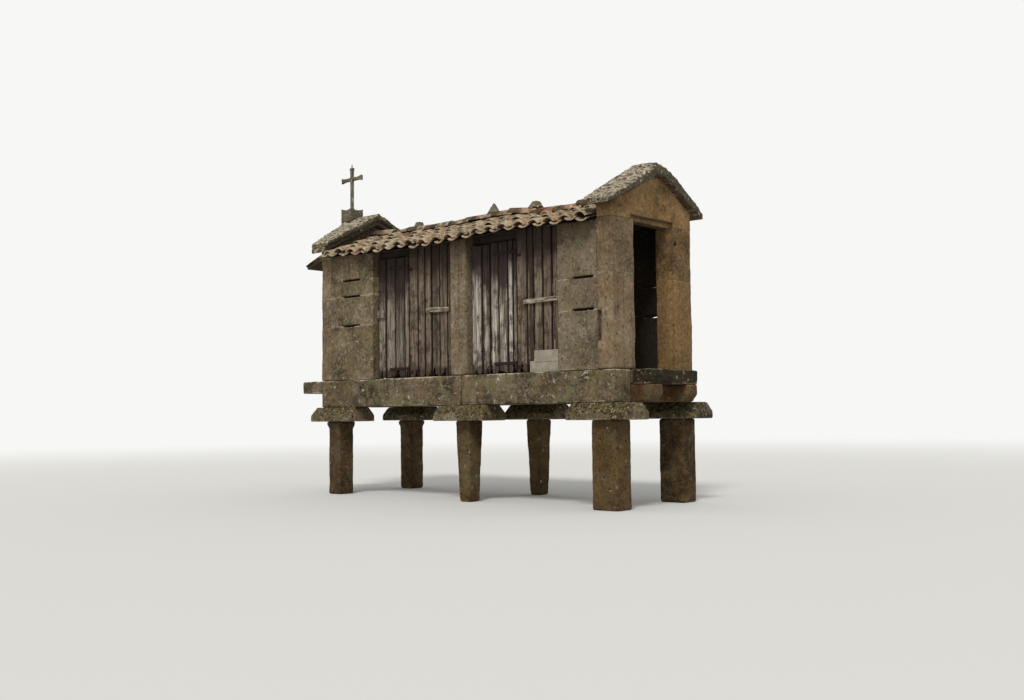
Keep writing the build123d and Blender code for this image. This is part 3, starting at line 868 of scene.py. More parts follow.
for side in ("front", "rear"):
    for place in ("left", "centre", "right"):
        stonePiece(
            f"pier_{side}_{place}", coursesAt(f"pier_{place}"), shades=[pierDark],
            voxel=stoneWear["voxel" if place == "centre" else "slotVoxel"],
            material="left_pier_stone" if place == "left" else "pier_stone",
            reach=(cornerReach if place == "left" else 0.0, 0.0),
        )
        pillar = stonePiece(f"pillar_{side}_{place}", voxel=0.014)
        for vertex in pillar.data.vertices:
            vertex.co.z = max(groundLevel, vertex.co.z)
        stonePiece(f"cap_{side}_{place}", edge=0.008, voxel=0.011, swell=0.010, pit=0.007, crust=0.01)
for side in ("left", "right"):
    for face in ("front", "rear"):
        # painted light and shade: the right rear jamb takes the yellower gable stone for light through
        # leaves, and is darker all over for their shade
        rearRight = (side, face) == ("right", "rear")
        stonePiece(
            f"jamb_{side}_{face}", coursesAt(f"jamb_{side}"), voxel=0.012, swell=0.018, edge=0.022,
            material="gable_stone" if rearRight else None,
            shades=[(wallRight + 1, 0.4)] if rearRight else (),
            reach=(0.0, cornerReach) if side == "left" else (cornerReach, 0.0),
        )
    material = "gable_stone" if side == "right" else "left_gable_stone"
    shape = fullerGable(side)
    stonePiece(f"gable_{side}", voxel=0.013, edge=0.006, material=material, shape=shape, sink=gableSink)
stonePiece("sill_left", material="beam_stone")
stonePiece("sill_right", material="corbel_stone")
stonePiece("doorstep_left", crust=0.012, edge=0.016, inward=True, material="beam_stone")
stonePiece(
    "doorstep_right", crust=0.022, edge=0.02, swell=0.016, pit=0.022, inward=True, material="step_stone",
    voxel=0.010,
)
print("walls and pillars worn")

# the last stone of each beam at the left is a separate, darker one
endStone = wallLeft + 0.60
for name in ("beam_front", "beam_rear"):
    stonePiece(name, [(0, endStone)], edge=0.016, voxel=0.014, shades=[(endStone + 0.1, 0.75)])
floorCuts = [(0, wallLeft + share * (wallRight - wallLeft)) for share in (0.18, 0.37, 0.55, 0.76)]
stonePiece("floor", floorCuts, voxel=0.026)
for name in copingSlabs:
    shape = roundedCoping if "right" in name else raisedCoping
    stonePiece(name, voxel=0.011, edge=0.022, swell=0.016, pit=0.016, crust=0.042, middle=0.6, shape=shape)
stonePiece("coping_bed_left", voxel=0.014, edge=0.014, crust=0.016, inward=True, shape=raisedBed)
stonePiece("cross_pedestal", voxel=0.006, edge=0.008, swell=0.012, pit=0.006, crust=0.01)
crossStone = stonePiece("cross", voxel=0.0045, edge=0.004, swell=0.004, pit=0.002, inward=True)
# the pin on top is thin, so wear has eaten most of it, and it gets its width back
pin = {"height": 0.060, "wider": 0.9}
crossLow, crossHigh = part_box("cross")
crossMiddle = (crossLow + crossHigh) / 2
for vertex in crossStone.data.vertices:
    if vertex.co.z > crossHigh.z - pin["height"]:
        vertex.co.x += (vertex.co.x - crossMiddle.x) * pin["wider"]
        vertex.co.y += (vertex.co.y - crossMiddle.y) * pin["wider"]
print("beams, copings and cross worn")


# Roof

roof = {
    "pitch": 0.213,           # from one tile row to the next, m
    "tileLength": 0.40,
    "exposed": 0.247,         # length of each tile that shows
    "wideHalf": 0.084,        # half width of a cover tile at its lower end
    "narrowHalf": 0.068,
    "rise": 0.054,            # height of a cover tile
    "coverFloor": 0.046,      # from the underside of the deck to a cover's lower edge
    "panHalf": 0.088,         # the same for the upturned tiles between the covers
    "panRise": 0.034,
    "panFloor": 0.028,
    "eavePan": 0.004,         # the lowest pans hang down to the deck's underside
    "clay": 0.013,            # thickness
    "deck": 0.007,            # boards under the tiles
    "deckStart": 0.07,        # how far up the slope they begin
    "deckGap": 0.002,         # and how far they stay off the ridge and the underside
    "jitterTurn": 4.2,        # degrees
    "jitterPlace": 0.011,
    "lean": 3.6,              # degrees that a tile lies flatter than the slope
    "eaveLean": -1.2,         # the same for the lowest pans
    "lifted": 0.026,          # how high the worst tiles stand up, m
    "seed": 7,
}


def tileBlank(name, length, wideHalf, narrowHalf, rise, clay):
    # a barrel tile lying along Y: wide end at 0, narrow end at length, crown up, edges on Z 0
    radius = (wideHalf ** 2 + rise ** 2) / (2 * rise)
    bpy.ops.mesh.primitive_cylinder_add(
        vertices=28, radius=radius, depth=length, end_fill_type="NOTHING",
        location=(0, length / 2, rise - radius), rotation=(math.pi / 2, 0, 0),
    )
    tile = bpy.context.object
    tile.name = name
    settle(tile)
    sliced(tile, (0, 0, 0), (0, 0, 1), fill=False, clear_inner=True)
    for share in (0.34, 0.67):
        sliced(tile, (0, length * share, 0), (0, 1, 0), fill=False)
    narrow = narrowHalf / wideHalf
    for vertex in tile.data.vertices:
        share = vertex.co.y / length
        vertex.co.x *= 1 + (narrow - 1) * share
        vertex.co.z *= 1 + (narrow - 1) * share
    reach = tile.data.attributes.new("tileReach", "FLOAT", "POINT")
    reach.data.foreach_set("value", [vertex.co.y / length for vertex in tile.data.vertices])
    addModifier(tile, "SOLIDIFY", thickness=clay, offset=-1)
    finishModifiers(tile)
    facesOut(tile)
    bpy.ops.object.shade_smooth_by_angle(angle=math.radians(40))
    return tile


def roofLines(node):
    # the sagging eave and ridge, read from the CAD slab: (x, underside of eave, underside of ridge)
    corners = [tuple(round(value, 4) for value in vertex.co) for vertex in nodes[node].data.vertices]
    outer = max(abs(y) for _, y, _ in corners)
    lines = []
    ridgePlaces = sorted({cx for cx, y, _ in corners if y == 0})
    for x in ridgePlaces:
        eave = [z for cx, y, z in corners if abs(cx - x) < 0.0006 and abs(y) == outer]
        ridge = [z for cx, y, z in corners if cx == x and y == 0]
        if eave:
            lines.append((x, min(eave), min(ridge)))
    return outer, lines


eaveReach, sagLines = roofLines("roof_front")
roofStart, roofStop = sagLines[0][0], sagLines[-1][0]


def sagAt(x):
    x = min(max(x, roofStart), roofStop)
    for (x0, eave0, ridge0), (x1, eave1, ridge1) in zip(sagLines, sagLines[1:]):
        if x <= x1:
            share = (x - x0) / (x1 - x0)
            share = share * share * (3 - 2 * share) * 0.5 + share * 0.5
            return eave0 + (eave1 - eave0) * share, ridge0 + (ridge1 - ridge0) * share
    return sagLines[-1][1:]


def slopeFrame(x, side):
    # eave point, direction up the slope and normal of the underside; side is -1 at the front, 1 at the rear
    eave, ridge = sagAt(x)
    near, far = sagAt(x - 0.1), sagAt(x + 0.1)
    foot = Vector((x, side * eaveReach, eave))
    rise = (Vector((x, 0, ridge)) - foot).normalized()
    along = Vector((0.2, 0, (far[0] - near[0] + far[1] - near[1]) / 2)).normalized()
    normal = along.cross(rise) if side < 0 else rise.cross(along)
    return foot, rise, normal.normalized()


def layTile(blank, place, along, normal, tone, name, hollow=0.0):
    tile = copied(blank, name)
    side = along.cross(normal).normalized()
    up = side.cross(along).normalized()
    turn = Matrix((side, along, up)).transposed().to_4x4()
    tile.data.transform(Matrix.Translation(place) @ turn)
    setTone(tile, "tileTone", tone)
    setTone(tile, "tileHollow", hollow)
    if hollow:
        # an upturned tile shows its narrow end
        reach = tile.data.attributes["tileReach"]
        values = [1 - item.value for item in reach.data]
        reach.data.foreach_set("value", values)
    return tile


def tiledSlope(side, name, replaced):
    rng = random.Random(roof["seed"] + side)
    tileLength, narrow, clay = roof["tileLength"], roof["narrowHalf"], roof["clay"]
    cover = tileBlank("coverBlank", tileLength, roof["wideHalf"], narrow, roof["rise"], clay)
    pan = tileBlank("panBlank", tileLength, roof["panHalf"], narrow, roof["panRise"], clay)
    _, eave, crest = sagLines[0]
    length = math.hypot(eaveReach, crest - eave)
    rows = round((roofStop - roofStart) / roof["pitch"])
    pitch = (roofStop - roofStart) / rows
    courseCount = math.ceil((length - 0.05) / roof["exposed"])
    tiles = []

    def lay(blank, x, along, lift, flip, leaning):
        foot, rise, normal = slopeFrame(x, side)
        across = rise.cross(normal)
        lift = lift + rng.random() ** 4 * roof["lifted"]
        turn = Matrix.Rotation(math.radians(rng.uniform(-1, 1) * roof["jitterTurn"]), 3, normal)
        roll = Matrix.Rotation(math.radians(rng.uniform(-1, 1) * roof["jitterTurn"] * 1.5), 3, rise)
        lean = Matrix.Rotation(side * math.radians(leaning), 3, Vector((1, 0, 0)))
        place = foot + rise * along + normal * lift + across * rng.uniform(-1, 1) * roof["jitterPlace"]
        direction = turn @ lean @ rise
        top = roll @ turn @ lean @ normal
        hollow = 0.0
        if flip:
            # a pan is the same tile upside down, wide end up the slope
            place = place + direction * tileLength + top * roof["panRise"]
            direction, top = -direction, -top
            hollow = 0.75
        tiles.append(layTile(blank, place, direction, top, rng.random(), f"tile{len(tiles)}", hollow))

    for course in range(courseCount):
        start = course * roof["exposed"]
        atEave = course == 0
        for row in range(rows + 1):
            x = roofStart + row * pitch
            x = min(max(x, roofStart + 0.07), roofStop - 0.07)
            reach = start + 0.018 + rng.uniform(0, 0.012)
            lift, lean = (roof["eavePan"], roof["eaveLean"]) if atEave else (roof["panFloor"], roof["lean"])
            lay(pan, x, reach, lift, True, lean)
        for row in range(rows):
            x = roofStart + (row + 0.5) * pitch
            reach = start + 0.042 + rng.uniform(0, 0.026)
            lay(cover, x, reach, roof["coverFloor"], False, roof["lean"])
    remove(cover, pan)
    piece = joined(tiles, name)
    # what runs past the ridge and the eave is cut off
    for place, outer in ((side * 0.03, side < 0), (side * (eaveReach - 0.001), side > 0)):
        sliced(piece, (0, place, 0), (0, 1, 0), clear_outer=outer, clear_inner=not outer)
    handOver(piece, "granary", "clay_tile", tileMaterial, replaced)


def roofDeck(side, name, replaced):
    # boards under the tiles, laid along the building
    bpy.ops.mesh.primitive_grid_add(x_subdivisions=44, y_subdivisions=9, size=1, location=(0, 0, 0))
    deck = bpy.context.object
    inset, start, gap = 0.005, roof["deckStart"], roof["deckGap"]
    for vertex in deck.data.vertices:
        x = roofStart + inset + (vertex.co.x + 0.5) * (roofStop - roofStart - 2 * inset)
        share = vertex.co.y + 0.5
        foot, rise, normal = slopeFrame(x, side)
        length = (Vector((x, 0, sagAt(x)[1])) - foot).length
        vertex.co = foot + rise * (start + share * (length - start - gap)) + normal * gap
    addModifier(deck, "SOLIDIFY", thickness=roof["deck"] - gap, offset=1 if side < 0 else -1)
    finishModifiers(deck)
    facesOut(deck)
    setTone(deck, "boardTone", 0.4)
    piece = joined([deck], name)
    handOver(piece, "granary", "roof_timber", timberMaterial, replaced)


tiledSlope(-1, "tiles_front", "roof_front")
tiledSlope(1, "tiles_rear", "roof_rear")
roofDeck(-1, "deck_front", "roof_front")
roofDeck(1, "deck_rear", "roof_rear")
print("slopes tiled")


ridge = {
    "half": 0.098, "narrow": 0.084, "rise": 0.075, "length": 0.42, "exposed": 0.355, "lift": 0.064,
    "clay": 0.014,
    "tilt": 0.026,            # how far one end of a ridge tile stands up, m
    "onNext": 0.010,          # how far it rises onto the next one, m
    "turn": 0.03, "roll": 0.16, "shift": 0.01,
    "seed": 31,
}


def ridgeCourse():
    rng = random.Random(ridge["seed"])
    length = ridge["length"]
    blank = tileBlank("ridgeBlank", length, ridge["half"], ridge["narrow"], ridge["rise"], ridge["clay"])
    count = math.floor((roofStop - roofStart) / ridge["exposed"])
    step = (roofStop - roofStart - length) / (count - 1)
    tiles = []
    for index in range(count):
        x = roofStop - index * step
        here, there = sagAt(x)[1], sagAt(x - length)[1]
        tip = rng.uniform(-1, 1) * ridge["tilt"]
        turn = rng.uniform(-ridge["turn"], ridge["turn"])
        along = Vector((-length, turn, there - here + ridge["onNext"] - tip)).normalized()
        normal = Vector((0, rng.uniform(-ridge["roll"], ridge["roll"]), 1))
        aside = rng.uniform(-ridge["shift"], ridge["shift"])
        place = Vector((x, aside, here + ridge["lift"] + abs(tip) * 0.5))
        tiles.append(layTile(blank, place, along, normal, rng.random(), f"ridgeTile{index}"))
    remove(blank)
    piece = joined(tiles, "ridge_course")
    handOver(piece, "granary", "clay_tile", tileMaterial, "ridge_tiles")


ridgeCourse()

# loose stones that hold the ridge tiles down: rough lumps in the boxes of the CAD stones
ballast = {
    "seed": 5,
    "tops": (0.75, 0.18, 0.6),     # width of each stone's top as a share of its foot
    "feet": (1.1, 1.0, 1.35),      # width of the foot
    "rough": 0.014,
}


def ballastStones():
    rng = random.Random(ballast["seed"])
    lumps = looseParts(copiedNode("ballast_stones", "ballast"))
    lumps.sort(key=lambda block: extent(block, 0)[0])
    for block, top, foot in zip(lumps, ballast["tops"], ballast["feet"]):
        low, high = extent(block, 2)
        sides = [extent(block, axis) for axis in range(2)]
        for vertex in block.data.vertices:
            share = (vertex.co.z - low) / (high - low)
            for axis, (near, far) in enumerate(sides):
                middle = (near + far) / 2
                out = vertex.co[axis] - middle
                half = (far - near) / 2 * (foot + (top - foot) * share)
                vertex.co[axis] = middle + math.copysign(min(half, max(abs(out), 0.001) * 9), out)
        addModifier(block, "BEVEL", width=0.014, segments=3, limit_method="ANGLE")
        addModifier(block, "REMESH", mode="VOXEL", voxel_size=0.007)
        finishModifiers(block)
        roughen(block, crustCloud, ballast["rough"], 0.9)
        finishModifiers(block)
        bpy.ops.object.shade_smooth()
        setTone(block, "stoneTone", rng.random())
    piece = joined(lumps, "ballast_lumps")
    handOver(piece, "granary", "lichened_stone", stoneMaterials["cross_stone"], "ballast_stones")


ballastStones()


def roughTimbers():
    parts = looseParts(copiedNode("roof_timbers", "timbers"))
    for index, part in enumerate(parts):
        addModifier(part, "BEVEL", width=0.012, segments=2, limit_method="ANGLE")
        addModifier(part, "REMESH", mode="VOXEL", voxel_size=0.022)
        roughen(part, broadCloud, 0.012, 1.0)
        finishModifiers(part)
        bpy.ops.object.shade_smooth()
        setTone(part, "boardTone", index * 0.3)
    piece = joined(parts, "rough_timbers")
    handOver(piece, "granary", "roof_timber", timberMaterial, "roof_timbers")


roughTimbers()

hood = {
    "half": 0.074, "narrow": 0.064, "rise": 0.042, "clay": 0.012, "rows": 7, "bed": 0.012,
    "coverLift": 0.03,        # the cover tiles lie this far above the bed, m
    "panGap": 0.002,          # and the pans this far, m
    "back": 0.004,            # the tiles' foot stays this far behind the CAD's
    "short": 0.01,            # and they are this much shorter than the slope
    "shift": 0.006,
    "seed": 12,
}


def tiledHood():
    rng = random.Random(hood["seed"])
    low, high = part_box("hood_left")
    reach = high.x - low.x
    wallLow = min(vertex.co.z for vertex in nodes["hood_left"].data.vertices if vertex.co.x > high.x - 0.001)
    fall = wallLow - low.z
    along = Vector((reach, 0, fall)).normalized()
    length = math.hypot(reach, fall) - hood["short"]
    across = Vector((0, 1, 0))
    normal = along.cross(across)
    blank = tileBlank("hoodBlank", length, hood["half"], hood["narrow"], hood["rise"], hood["clay"])
    pitch = (high.y - low.y - 2 * hood["half"]) / hood["rows"]
    tiles = []

    def lay(row, lift, flip, name):
        y = low.y + hood["half"] + row * pitch + rng.uniform(-hood["shift"], hood["shift"])
        place = Vector((low.x + hood["back"], 0, low.z)) + across * y + normal * (hood["bed"] + lift)
        if flip:
            place = place + along * length
        way = -1 if flip else 1
        tiles.append(layTile(blank, place, along * way, normal * way, rng.random(), name))

    for row in range(hood["rows"] + 1):
        lay(row, hood["rise"] + hood["panGap"], True, f"hoodPan{row}")
    for row in range(hood["rows"]):
        lay(row + 0.5, hood["coverLift"], False, f"hoodCover{row}")
    remove(blank)
    piece = joined(tiles, "hood_tiles")
    for vertex in piece.data.vertices:
        vertex.co.x = max(low.x + 0.001, vertex.co.x)
    handOver(piece, "granary", "clay_tile", hoodMaterial, "hood_left")
    # a thin bed of mortar closes the underside
    bed = copiedNode("hood_left", "hood_bed")
    for vertex in bed.data.vertices:
        underside = wallLow + (vertex.co.x - high.x) * fall / reach
        if vertex.co.z > underside + 0.01:
            vertex.co.z = underside + hood["bed"]
        if vertex.co.x < high.x - 0.1:
            vertex.co.x += 0.03
    addModifier(bed, "REMESH", mode="VOXEL", voxel_size=0.008)
    roughen(bed, fineCloud, 0.004, 1.0)
    finishModifiers(bed)
    bpy.ops.object.shade_smooth()
    setTone(bed, "stoneTone", 0.5)
    handOver(bed, "granary", "lichened_stone", stoneMaterials["cap_stone"], "hood_left")


tiledHood()
print("ridge, timbers and hood made")


# Boards and doors

boards = {
    "gap": (0.006, 0.024),    # dark gap between two boards, least and most, m
    "ragged": 0.11,           # the deepest that rot has eaten a board's foot, m
    "rowStep": 0.07,          # how often a board can wander along its height
    "wander": 0.0022,         # how far its edges wander
    "edge": 0.003,
    "proud": 0.006,           # how far a board's face can lie behind the next
    "short": 0.01,            # how much lower its top can be
    "least": 0.05,            # no narrower board stands at the end of a row
    "roofGap": 0.008,         # between the fixed boards and the roof's underside
}
# where the joints between boards fall, in metres from the left end of the wall
bayBoards = {
    "door_left": (1.144, 1.316, 1.486),
    "boards_front_left": (1.713, 1.834, 1.944, 2.078, 2.211),
    "door_right": (2.762, 2.888, 3.017, 3.157, 3.232),
    "boards_front_right": (3.441, 3.528, 3.659, 3.787, 3.868),
}


def boardBlank(name, low, high, rng):
    # one board between two corners, with a wandering outline and a rotten foot
    (x0, _, z0), (x1, _, z1) = low, high
    width, height = x1 - x0, z1 - z0
    board = cuboid(name, low, high)
    rows = max(2, round(height / boards["rowStep"]))
    for row in range(1, rows):
        sliced(board, (0, 0, z0 + height * row / rows), (0, 0, 1), fill=False)
    for share in (0.2, 0.42, 0.63, 0.82):
        sliced(board, (x0 + width * share, 0, 0), (1, 0, 0), fill=False)
    phase = rng.uniform(0, 6.28)
    bow = rng.uniform(-1, 1) * boards["wander"]
    middle = (x0 + x1) / 2
    teeth = {}
    for vertex in board.data.vertices:
        share = (vertex.co.z - z0) / height
        outer = abs(vertex.co.x - middle) / (width / 2)
        wave = math.sin(phase + share * 9) * boards["wander"] * 0.6 + bow * math.sin(share * math.pi)
        vertex.co.x += wave * outer
        if vertex.co.z < z0 + 0.002:
            key = round(vertex.co.x, 2)
            if key not in teeth:
                teeth[key] = rng.random() ** 3 * boards["ragged"]
            vertex.co.z += teeth[key]
    bevelled(board, boards["edge"], 1)
    across = [abs(vertex.co.x - middle) / (width / 2) for vertex in board.data.vertices]
    board.data.attributes.new("boardEdge", "FLOAT", "POINT").data.foreach_set("value", across)
    return board


def bevelled(part, width, segments):
    limit = math.radians(50)
    addModifier(part, "BEVEL", width=width, segments=segments, limit_method="ANGLE", angle_limit=limit)
    finishModifiers(part)


def underRoof(x, y):
    eave, crest = sagAt(x)
    return eave + (crest - eave) * (eaveReach - abs(y)) / eaveReach - boards["roofGap"]


def boardRow(name, joints, front, back, foot, topAt, rng):
    row = []
    for index, (start, stop) in enumerate(zip(joints, joints[1:])):
        left = start + (rng.uniform(*boards["gap"]) / 2 if index else 0.001)
        right = stop - (rng.uniform(*boards["gap"]) / 2 if stop != joints[-1] else 0.001)
        face = front + rng.uniform(0, boards["proud"])
        top = topAt((left + right) / 2) - rng.uniform(0, boards["short"])
        board = boardBlank(f"{name}{index}", (left, face, foot), (right, back, top), rng)
        setTone(board, "boardTone", rng.random())
        row.append(board)
    return row


def bar(name, low, high, tone, edge=0.004, tilt=0.0):
    # a worn rail, batten or block between two corners
    rail = cuboid(name, low, high)
    start, length = low[0], high[0] - low[0]
    middle = (low[0] + high[0]) / 2
    count = max(1, round(length / 0.06))
    for index in range(1, count):
        sliced(rail, (start + length * index / count, 0, 0), (1, 0, 0), fill=False)
    rng = random.Random(name)
    for vertex in rail.data.vertices:
        vertex.co.z += (vertex.co.x - middle) * tilt + rng.uniform(-1, 1) * edge * 0.3
    bevelled(rail, edge, 2)
    setTone(rail, "boardTone", tone)
    return rail


nail = {"radius": 0.0045, "depth": 0.003}


def nails(name, places, y, radius=nail["radius"]):
    # hammered heads, each a low dome of a few faces
    heads = []
    for x, z in places:
        bpy.ops.mesh.primitive_cone_add(
            vertices=8, radius1=radius, radius2=radius * 0.5, depth=nail["depth"],
            location=(x, y, z), rotation=(math.pi / 2, 0, 0),
        )
        settle(bpy.context.object)
        heads.append(bpy.context.object)
    piece = joined(heads, name)
    setTone(piece, "boardTone", 0.5)
    return piece


def boardNails(name, joints, look, rng):
    # a nail in each board at each level, a little off its place
    aside, off = look["nailAside"], look["nailOff"]
    places = [
        ((a + b) / 2 + rng.uniform(-aside, aside), floorTop + level + rng.uniform(-off, off))
        for a, b in zip(joints, joints[1:]) for level in look["nailLevels"]
    ]
    return nails(name, places, plankFace - 0.0006)


hinge = {
    "levels": (0.090, 1.330),    # where the two halves of each hinge meet, above the floor, m
    "radius": 0.0088, "height": 0.0445, "gap": 0.0006,
    "strap": 0.34, "fixedStrap": 0.06, "strapHalf": 0.016, "strapDepth": 0.005,
    "rise": 0.023, "drop": 0.0225,    # from there to the middle of the moving and of the fixed strap
    "nailStart": 0.03, "nailStep": 0.075,
}
plankFace = wallFront + 0.090
plankBack = plankFace + 0.028
axisOf = {joint["child"]: Vector(joint["pos_m"]) for joint in frame["joints"]}


def hingeHalf(name, index, axis, start, stop, moving):
    # a strap and its roll; the moving half stands on the fixed one
    base = floorTop + hinge["levels"][index]
    middle = base + (hinge["rise"] if moving else -hinge["drop"])
    low, high = base + hinge["gap"], base + hinge["height"]
    if not moving:
        low, high = base - hinge["height"], base - hinge["gap"]
    corners = (
        (start, plankFace - hinge["strapDepth"], middle - hinge["strapHalf"]),
        (stop, plankFace, middle + hinge["strapHalf"]),
    )
    strap = bar(f"{name}Strap{index}", *corners, 0.5, edge=0.002)
    place = (axis.x, axis.y, (low + high) / 2)
    size = {"radius": hinge["radius"], "depth": high - low}
    bpy.ops.mesh.primitive_cylinder_add(vertices=16, location=place, **size)
    roll = bpy.context.object
    settle(roll)
    addModifier(roll, "BEVEL", width=0.0015, segments=2, limit_method="ANGLE")
    finishModifiers(roll)
    setTone(roll, "boardTone", 0.5)
    return [strap, roll]


def jointsOf(node, start, stop):
    places = [wallLeft + place for place in bayBoards[node]]
    inner = [place for place in places if start + boards["least"] < place < stop - boards["least"]]
    return [start] + inner + [stop]


def withMaterials(wooden, metal, name, wood):
    # wood and metal parts in one piece, each with its own material
    for part in wooden:
        coat(part, wood)
    for part in metal:
        coat(part, ironMaterial)
    return joined(wooden + metal, name)


door = {
    "edgeGap": 0.004,         # between a door's edge and its hinge line, m
    "ledges": (0.16, 1.28),   # feet of the two ledges on the back, above the floor
    "ledgeHeight": 0.1, "ledgeDepth": 0.022, "ledgeInset": 0.03,
    "nailLevels": (0.19, 0.23, 1.31), "nailAside": 0.01, "nailOff": 0.006,
}
lock = {"length": 0.14, "height": 0.095, "depth": 0.034, "level": 0.75}
keyhole = {
    "place": 2.695, "level": 0.655, "radius": 0.011, "depth": 0.2,
    "slotWidth": 0.011, "slot": (0.615, 0.655),
}


def plankDoor(node, body, name):
    rng = random.Random(node)
    axis = axisOf[body]
    low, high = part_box(node)
    start, stop = low.x, axis.x - door["edgeGap"]
    joints = jointsOf(node, start, stop)
    planks = boardRow(name, joints, plankFace, plankBack, low.z, lambda x: high.z, rng)
    for index, level in enumerate(door["ledges"]):
        foot = floorTop + level
        corners = (
            (start + door["ledgeInset"], plankBack - 0.001, foot),
            (stop - door["ledgeInset"], plankBack + door["ledgeDepth"], foot + door["ledgeHeight"]),
        )
        planks.append(bar(f"{name}Ledge{index}", *corners, 0.3))
    metal = []
    for index, level in enumerate(hinge["levels"]):
        strapStart = stop - hinge["strap"]
        metal += hingeHalf(name, index, axis, strapStart, axis.x, True)
        z = floorTop + level + hinge["rise"]
        places = [(strapStart + hinge["nailStart"] + hinge["nailStep"] * step, z) for step in range(4)]
        metal.append(nails(f"{name}StrapNails{index}", places, plankFace - 0.0055))
    metal.append(boardNails(f"{name}Nails", joints, door, rng))
    return planks, metal


def leftDoor():
    planks, metal = plankDoor("door_left", "left_leaf", "doorLeft")
    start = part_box("door_left")[0].x
    foot = floorTop + lock["level"]
    far = (start + lock["length"], plankFace, foot + lock["height"])
    planks.append(bar("lockBlock", (start, plankFace - lock["depth"], foot), far, 0.1, edge=0.006))
    piece = withMaterials(planks, metal, "door_left_planks", darkLeafMaterial)
    handOver(piece, "left_leaf", slotOf["door_left"], None, "door_left")


def rightDoor():
    planks, metal = plankDoor("door_right", "right_leaf", "doorRight")
    piece = withMaterials(planks, metal, "door_right_planks", leafMaterial)
    # the keyhole, a round hole above a slot, goes right through its plank
    x, half, reach = wallLeft + keyhole["place"], keyhole["slotWidth"] / 2, keyhole["depth"] / 2
    slotLow, slotHigh = [floorTop + level for level in keyhole["slot"]]
    bpy.ops.mesh.primitive_cylinder_add(
        vertices=20, radius=keyhole["radius"], depth=keyhole["depth"],
        location=(x, plankFace, floorTop + keyhole["level"]), rotation=(math.pi / 2, 0, 0),
    )
    upper = bpy.context.object
    settle(upper)
    near, far = (x - half, plankFace - reach, slotLow), (x + half, plankFace + reach, slotHigh)
    lower = cuboid("keySlot", near, far)
    for cutter in (upper, lower):
        addModifier(piece, "BOOLEAN", operation="DIFFERENCE", object=cutter, solver="EXACT")
        finishModifiers(piece)
    remove(upper, lower)
    handOver(piece, "right_leaf", slotOf["door_right"], None, "door_right")


fixed = {
    "barDepth": 0.03, "barHeight": 0.056, "barEdge": 0.014,    # the crossbar in front
    "rail": (0.85, 0.95), "railDepth": 0.03,                   # the rail behind, above the floor
    "nailLevels": (0.12, 0.9, 1.36), "nailAside": 0.012, "nailOff": 0.008,
}


def fixedBoards(node, body, name, crossbar):
    # crossbar is its start and stop along the wall, its height above the floor and its tilt
    rng = random.Random(node)
    axis = axisOf[body]
    low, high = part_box(node)
    start = axis.x + door["edgeGap"]
    joints = jointsOf(node, start, high.x)
    wooden = boardRow(name, joints, plankFace, plankBack, low.z, lambda x: underRoof(x, plankFace), rng)
    x0, x1, level, tilt = crossbar
    foot = floorTop + level
    corners = (
        (wallLeft + x0, plankFace - fixed["barDepth"], foot),
        (wallLeft + x1, plankFace, foot + fixed["barHeight"]),
    )
    pole = bar(f"{name}Bar", *corners, 0.1, edge=fixed["barEdge"], tilt=tilt)
    railLow, railHigh = [floorTop + level for level in fixed["rail"]]
    corners = ((start, plankBack - 0.001, railLow), (high.x, plankBack + fixed["railDepth"], railHigh))
    wooden.append(bar(f"{name}Rail", *corners, 0.4))
    metal = []
    for index in range(len(hinge["levels"])):
        metal += hingeHalf(name, index, axis, axis.x, start + hinge["fixedStrap"], False)
    metal.append(boardNails(f"{name}Nails", joints, fixed, rng))
    coat(pole, poleMaterial)
    piece = joined([withMaterials(wooden, metal, name, boardMaterial), pole], name)
    handOver(piece, "granary", slotOf[node], None, node)


patch = {
    # each sheet's start and stop along the wall, foot and top above the floor, distance from the boards
    "sheets": ((3.472, 3.900, 0.002, 0.122, 0.002), (3.536, 3.871, 0.112, 0.237, 0.005)),
    "thick": 0.003,
    "inset": 0.015,           # of the nails
    "nailRadius": 0.0035,
}


def patchPlates():
    # two overlapping sheets nailed over the rotten foot of the boards
    plates = []
    for index, (x0, x1, z0, z1, out) in enumerate(patch["sheets"]):
        x0, x1, z0, z1 = wallLeft + x0, wallLeft + x1, floorTop + z0, floorTop + z1
        face, inset = plankFace - out, patch["inset"]
        plate = bar(f"patch{index}", (x0, face - patch["thick"], z0), (x1, face, z1), 0.5, edge=0.001)
        coat(plate, patchMaterial)
        heads = [(x0 + inset + (x1 - x0 - 2 * inset) * step / 6, z1 - 0.014) for step in range(7)]
        heads += [(x0 + inset, z0 + 0.05), (x1 - inset, z0 + 0.05)]
        studs = nails(f"patchNails{index}", heads, face - 0.0042, patch["nailRadius"])
        coat(studs, ironMaterial)
        plates += [plate, studs]
    handOver(joined(plates, "patch_plates"), "granary", "weathered_boards", None)


leftDoor()
rightDoor()
fixedBoards("boards_front_left", "left_leaf", "boards_left_planks", (1.868, 2.252, 0.762, -0.035))
fixedBoards("boards_front_right", "right_leaf", "boards_right_planks", (3.397, 3.888, 0.752, 0.016))
patchPlates()


def partBoxes(node):
    parts = looseParts(copiedNode(node, "measure"))
    boxes = []
    for part in parts:
        sides = [extent(part, axis) for axis in range(3)]
        boxes.append((Vector([side[0] for side in sides]), Vector([side[1] for side in sides])))
    remove(*parts)
    return sorted(boxes, key=lambda pair: pair[0].x)


rear = {"seed": 77, "width": 0.132, "uneven": 0.014, "thick": 0.028, "railDepth": 0.03}


